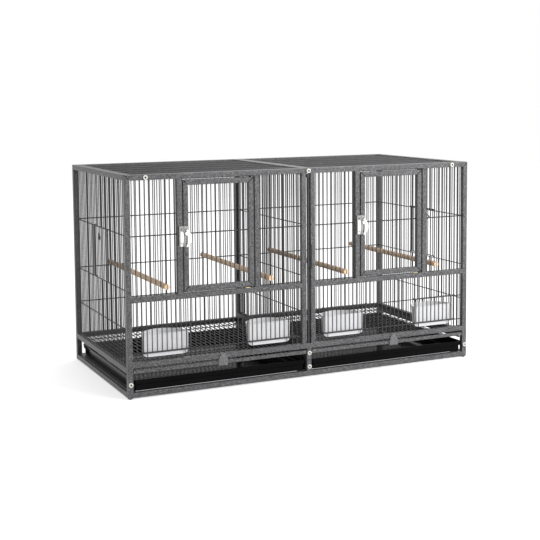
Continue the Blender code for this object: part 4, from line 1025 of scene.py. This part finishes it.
def woodenPerch(name, place):
    node = f"{name}_{place}_perch"
    low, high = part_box(node)
    x, z = (low.x + high.x) / 2, (low.z + high.z) / 2
    radius = (high.z - low.z) / 2 + perch["grown"]
    half, neck = perch["neckHalf"], radius * perch["neck"]
    bm = bmesh.new()
    straightWire(bm, (x, frontWire + half, z), (x, backWire - half, z), radius, 32)
    # each end is split by a slot that straddles a wire, and necked where that wire stands
    spans = []
    for end, plane, inwards in ((low.y, frontWire, 1), (high.y, backWire, -1)):
        spans.append((plane + inwards * (half + fit), plane - inwards * (half + fit), neck))
        spans.append((plane - inwards * half, end, radius))
    for start, end, thick in spans:
        for across in (-1, 1):
            part = bmesh.new()
            straightWire(part, (x, start, z), (x, end, z), thick, 32)
            rim = [e for e in part.edges if all(abs(v.co.y - end) < 1e-6 for v in e.verts)]
            roundOff(part, rim, perch["chamfer"], 1)
            slotted = cutAway(part, (x + across * perch["slot"] / 2, 0, 0), (-across, 0, 0))
            bmesh.ops.edgeloop_fill(part, edges=slotted)
            joinInto(bm, part)
    finishPiece(name + place.title() + "Perch", bm, "dowel", nodes=[node])


bolt = {"head": 0.0055, "edge": 0.0007, "across": 0.0026, "depth": 0.0018}


def boltHead(bm, socketShadeMarks, place, thick):
    # a low round head with a hexagon opening; the dark hexagon plug under it, a piece of its own, is painted shade
    # for the socket's depth
    part = bmesh.new()
    bmesh.ops.create_circle(part, segments=24, radius=bolt["head"])
    wall = bmesh.ops.extrude_edge_only(part, edges=part.edges[:])["geom"]
    top = vertsIn(wall)
    bmesh.ops.translate(part, vec=(0, 0, thick), verts=top)
    topEdges = [e for e in edgesIn(wall) if all(v in top for v in e.verts)]
    hexagon = bmesh.ops.create_circle(part, segments=6, radius=bolt["across"])["verts"]
    bmesh.ops.translate(part, vec=(0, 0, thick), verts=hexagon)
    hexEdges = list({e for v in hexagon for e in v.link_edges})
    bmesh.ops.bridge_loops(part, edges=topEdges + hexEdges)
    roundOff(part, [e for e in topEdges if e.is_valid], bolt["edge"], 3)
    bmesh.ops.recalc_face_normals(part, faces=part.faces)
    upright = Matrix.Translation(place) @ Matrix.Rotation(radians(90), 4, "X")
    joinInto(bm, part, upright)
    paintedSocketShade = bmesh.new()
    bmesh.ops.create_circle(paintedSocketShade, cap_ends=True, segments=6, radius=bolt["across"])
    bmesh.ops.translate(paintedSocketShade, vec=(0, 0, thick - fit), verts=paintedSocketShade.verts)
    made = bmesh.ops.extrude_face_region(paintedSocketShade, geom=paintedSocketShade.faces[:])
    bmesh.ops.translate(paintedSocketShade, vec=(0, 0, -bolt["depth"]), verts=vertsIn(made["geom"]))
    joinInto(socketShadeMarks, paintedSocketShade, upright)


def bolts():
    nodes = ["centre_top_bolt", "centre_upper_bolt", "centre_lower_bolt"]
    nodes += [f"{name}_{place}_bolt" for name in sides for place in ("top", "corner")]
    socketShadeMarks = bmesh.new()
    for node in nodes:
        low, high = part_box(node)
        bm = bmesh.new()
        boltHead(bm, socketShadeMarks, ((low.x + high.x) / 2, cage["front"], (low.z + high.z) / 2), cage["front"] - low.y)
        words = node.split("_")
        finishPiece(words[0] + words[1].title() + "Bolt", bm, "bolt", nodes=[node])
    finishPiece("boltSockets", socketShadeMarks, "steelAndShade")


foot = {"taper": 0.88, "edge": 0.0015}


def rubberFoot(name, place):
    node = f"{name}_{place}_foot"
    low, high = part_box(node)
    radius = (high.x - low.x) / 2
    bm = bmesh.new()
    bmesh.ops.create_cone(
        bm, cap_ends=True, segments=32, radius1=radius * foot["taper"], radius2=radius,
        depth=high.z - low.z, matrix=Matrix.Translation((low + high) / 2),
    )
    rim = [e for e in bm.edges if all(abs(v.co.z - low.z) < 1e-6 for v in e.verts)]
    roundOff(bm, rim, foot["edge"], 3)
    finishPiece(name + place.title() + "Foot", bm, "foot", nodes=[node])


for sideName in sides:
    for perchPlace in ("inner", "outer"):
        woodenPerch(sideName, perchPlace)
bolts()
for sideName in sides:
    for footPlace in ("front", "back"):
        rubberFoot(sideName, footPlace)
print("perches, bolts and feet built")

studio = {
    "floorSize": 12.0, "floorGlow": 0.62, "background": "#ffffff", "fill": 0.50, "aim": (0.0, 0.0, 0.25),
    "keyPlace": (1.6, -2.3, 1.4), "keySize": 1.8, "keyWatts": 63.0,
    "backPlace": (2.0, 2.4, 2.6), "backSize": 3.0, "backWatts": 25.0,
}


def paleRays(tree):
    # 1 for the rays that should meet the pale background: from the camera, from mirrors and through glass
    rays = addNode(tree, "LightPath", {}, {})
    larger = {"operation": "MAXIMUM"}
    seen = addNode(tree, "Math", larger, {0: rays["Is Camera Ray"], 1: rays["Is Glossy Ray"]})[0]
    return addNode(tree, "Math", larger, {0: seen, 1: rays["Is Transmission Ray"]})[0]


def paleFloor():
    # matt white paper: lit from below too for the eye and for mirrors, so that only the contact shadow shows
    bm = bmesh.new()
    bmesh.ops.create_grid(bm, x_segments=1, y_segments=1, size=studio["floorSize"] / 2)
    mesh = bpy.data.meshes.new("floor")
    bm.to_mesh(mesh)
    bm.free()
    floor = bpy.data.objects.new("floor", mesh)
    scene.collection.objects.link(floor)
    material, tree, place = newTree("mattWhiteFloor")
    tones = {"stops": ((0.3, "#f3f3f3"), (0.7, "#f7f7f7"))}
    paper = addNode(tree, "TexNoise", {"Scale": 3.0, "Detail": 2.0}, {"Vector": place})["Fac"]
    colour = addNode(tree, "ValToRGB", tones, {"Fac": paper})["Color"]
    matt = addNode(tree, "BsdfPrincipled", {"Roughness": 0.9, "IOR": 1.4}, {"Base Color": colour})[0]
    glow = addNode(tree, "Emission", {"Strength": studio["floorGlow"]}, {"Color": colour})[0]
    lit = addNode(tree, "AddShader", {}, {0: matt, 1: glow})[0]
    surface = addNode(tree, "MixShader", {}, {0: paleRays(tree), 1: matt, 2: lit})[0]
    addNode(tree, "OutputMaterial", {}, {"Surface": surface})
    mesh.materials.append(material)


def studioLight(name, place, size, watts):
    lamp = bpy.data.lights.new(name, "AREA")
    lamp.size = size
    lamp.energy = watts
    holder = bpy.data.objects.new(name, lamp)
    holder.location = place
    aim = Vector(studio["aim"]) - Vector(place)
    holder.rotation_euler = aim.to_track_quat("-Z", "Y").to_euler()
    scene.collection.objects.link(holder)


def paleWorld():
    world = bpy.data.worlds.new("studioWorld")
    scene.world = world
    world.use_nodes = True
    tree = world.node_tree
    tree.nodes.clear()
    pale = srgb(studio["background"])
    fill = addNode(tree, "Background", {"Color": pale, "Strength": studio["fill"]}, {})[0]
    shown = addNode(tree, "Background", {"Color": pale, "Strength": 1.0}, {})[0]
    mixed = addNode(tree, "MixShader", {}, {0: paleRays(tree), 1: fill, 2: shown})[0]
    addNode(tree, "OutputWorld", {}, {"Surface": mixed})


paleFloor()
paleWorld()
for lampName, lampKind in (("softKey", "key"), ("softBack", "back")):
    studioLight(lampName, *[studio[lampKind + value] for value in ("Place", "Size", "Watts")])
scene.view_settings.view_transform = "Standard"
print("floor and lights placed")
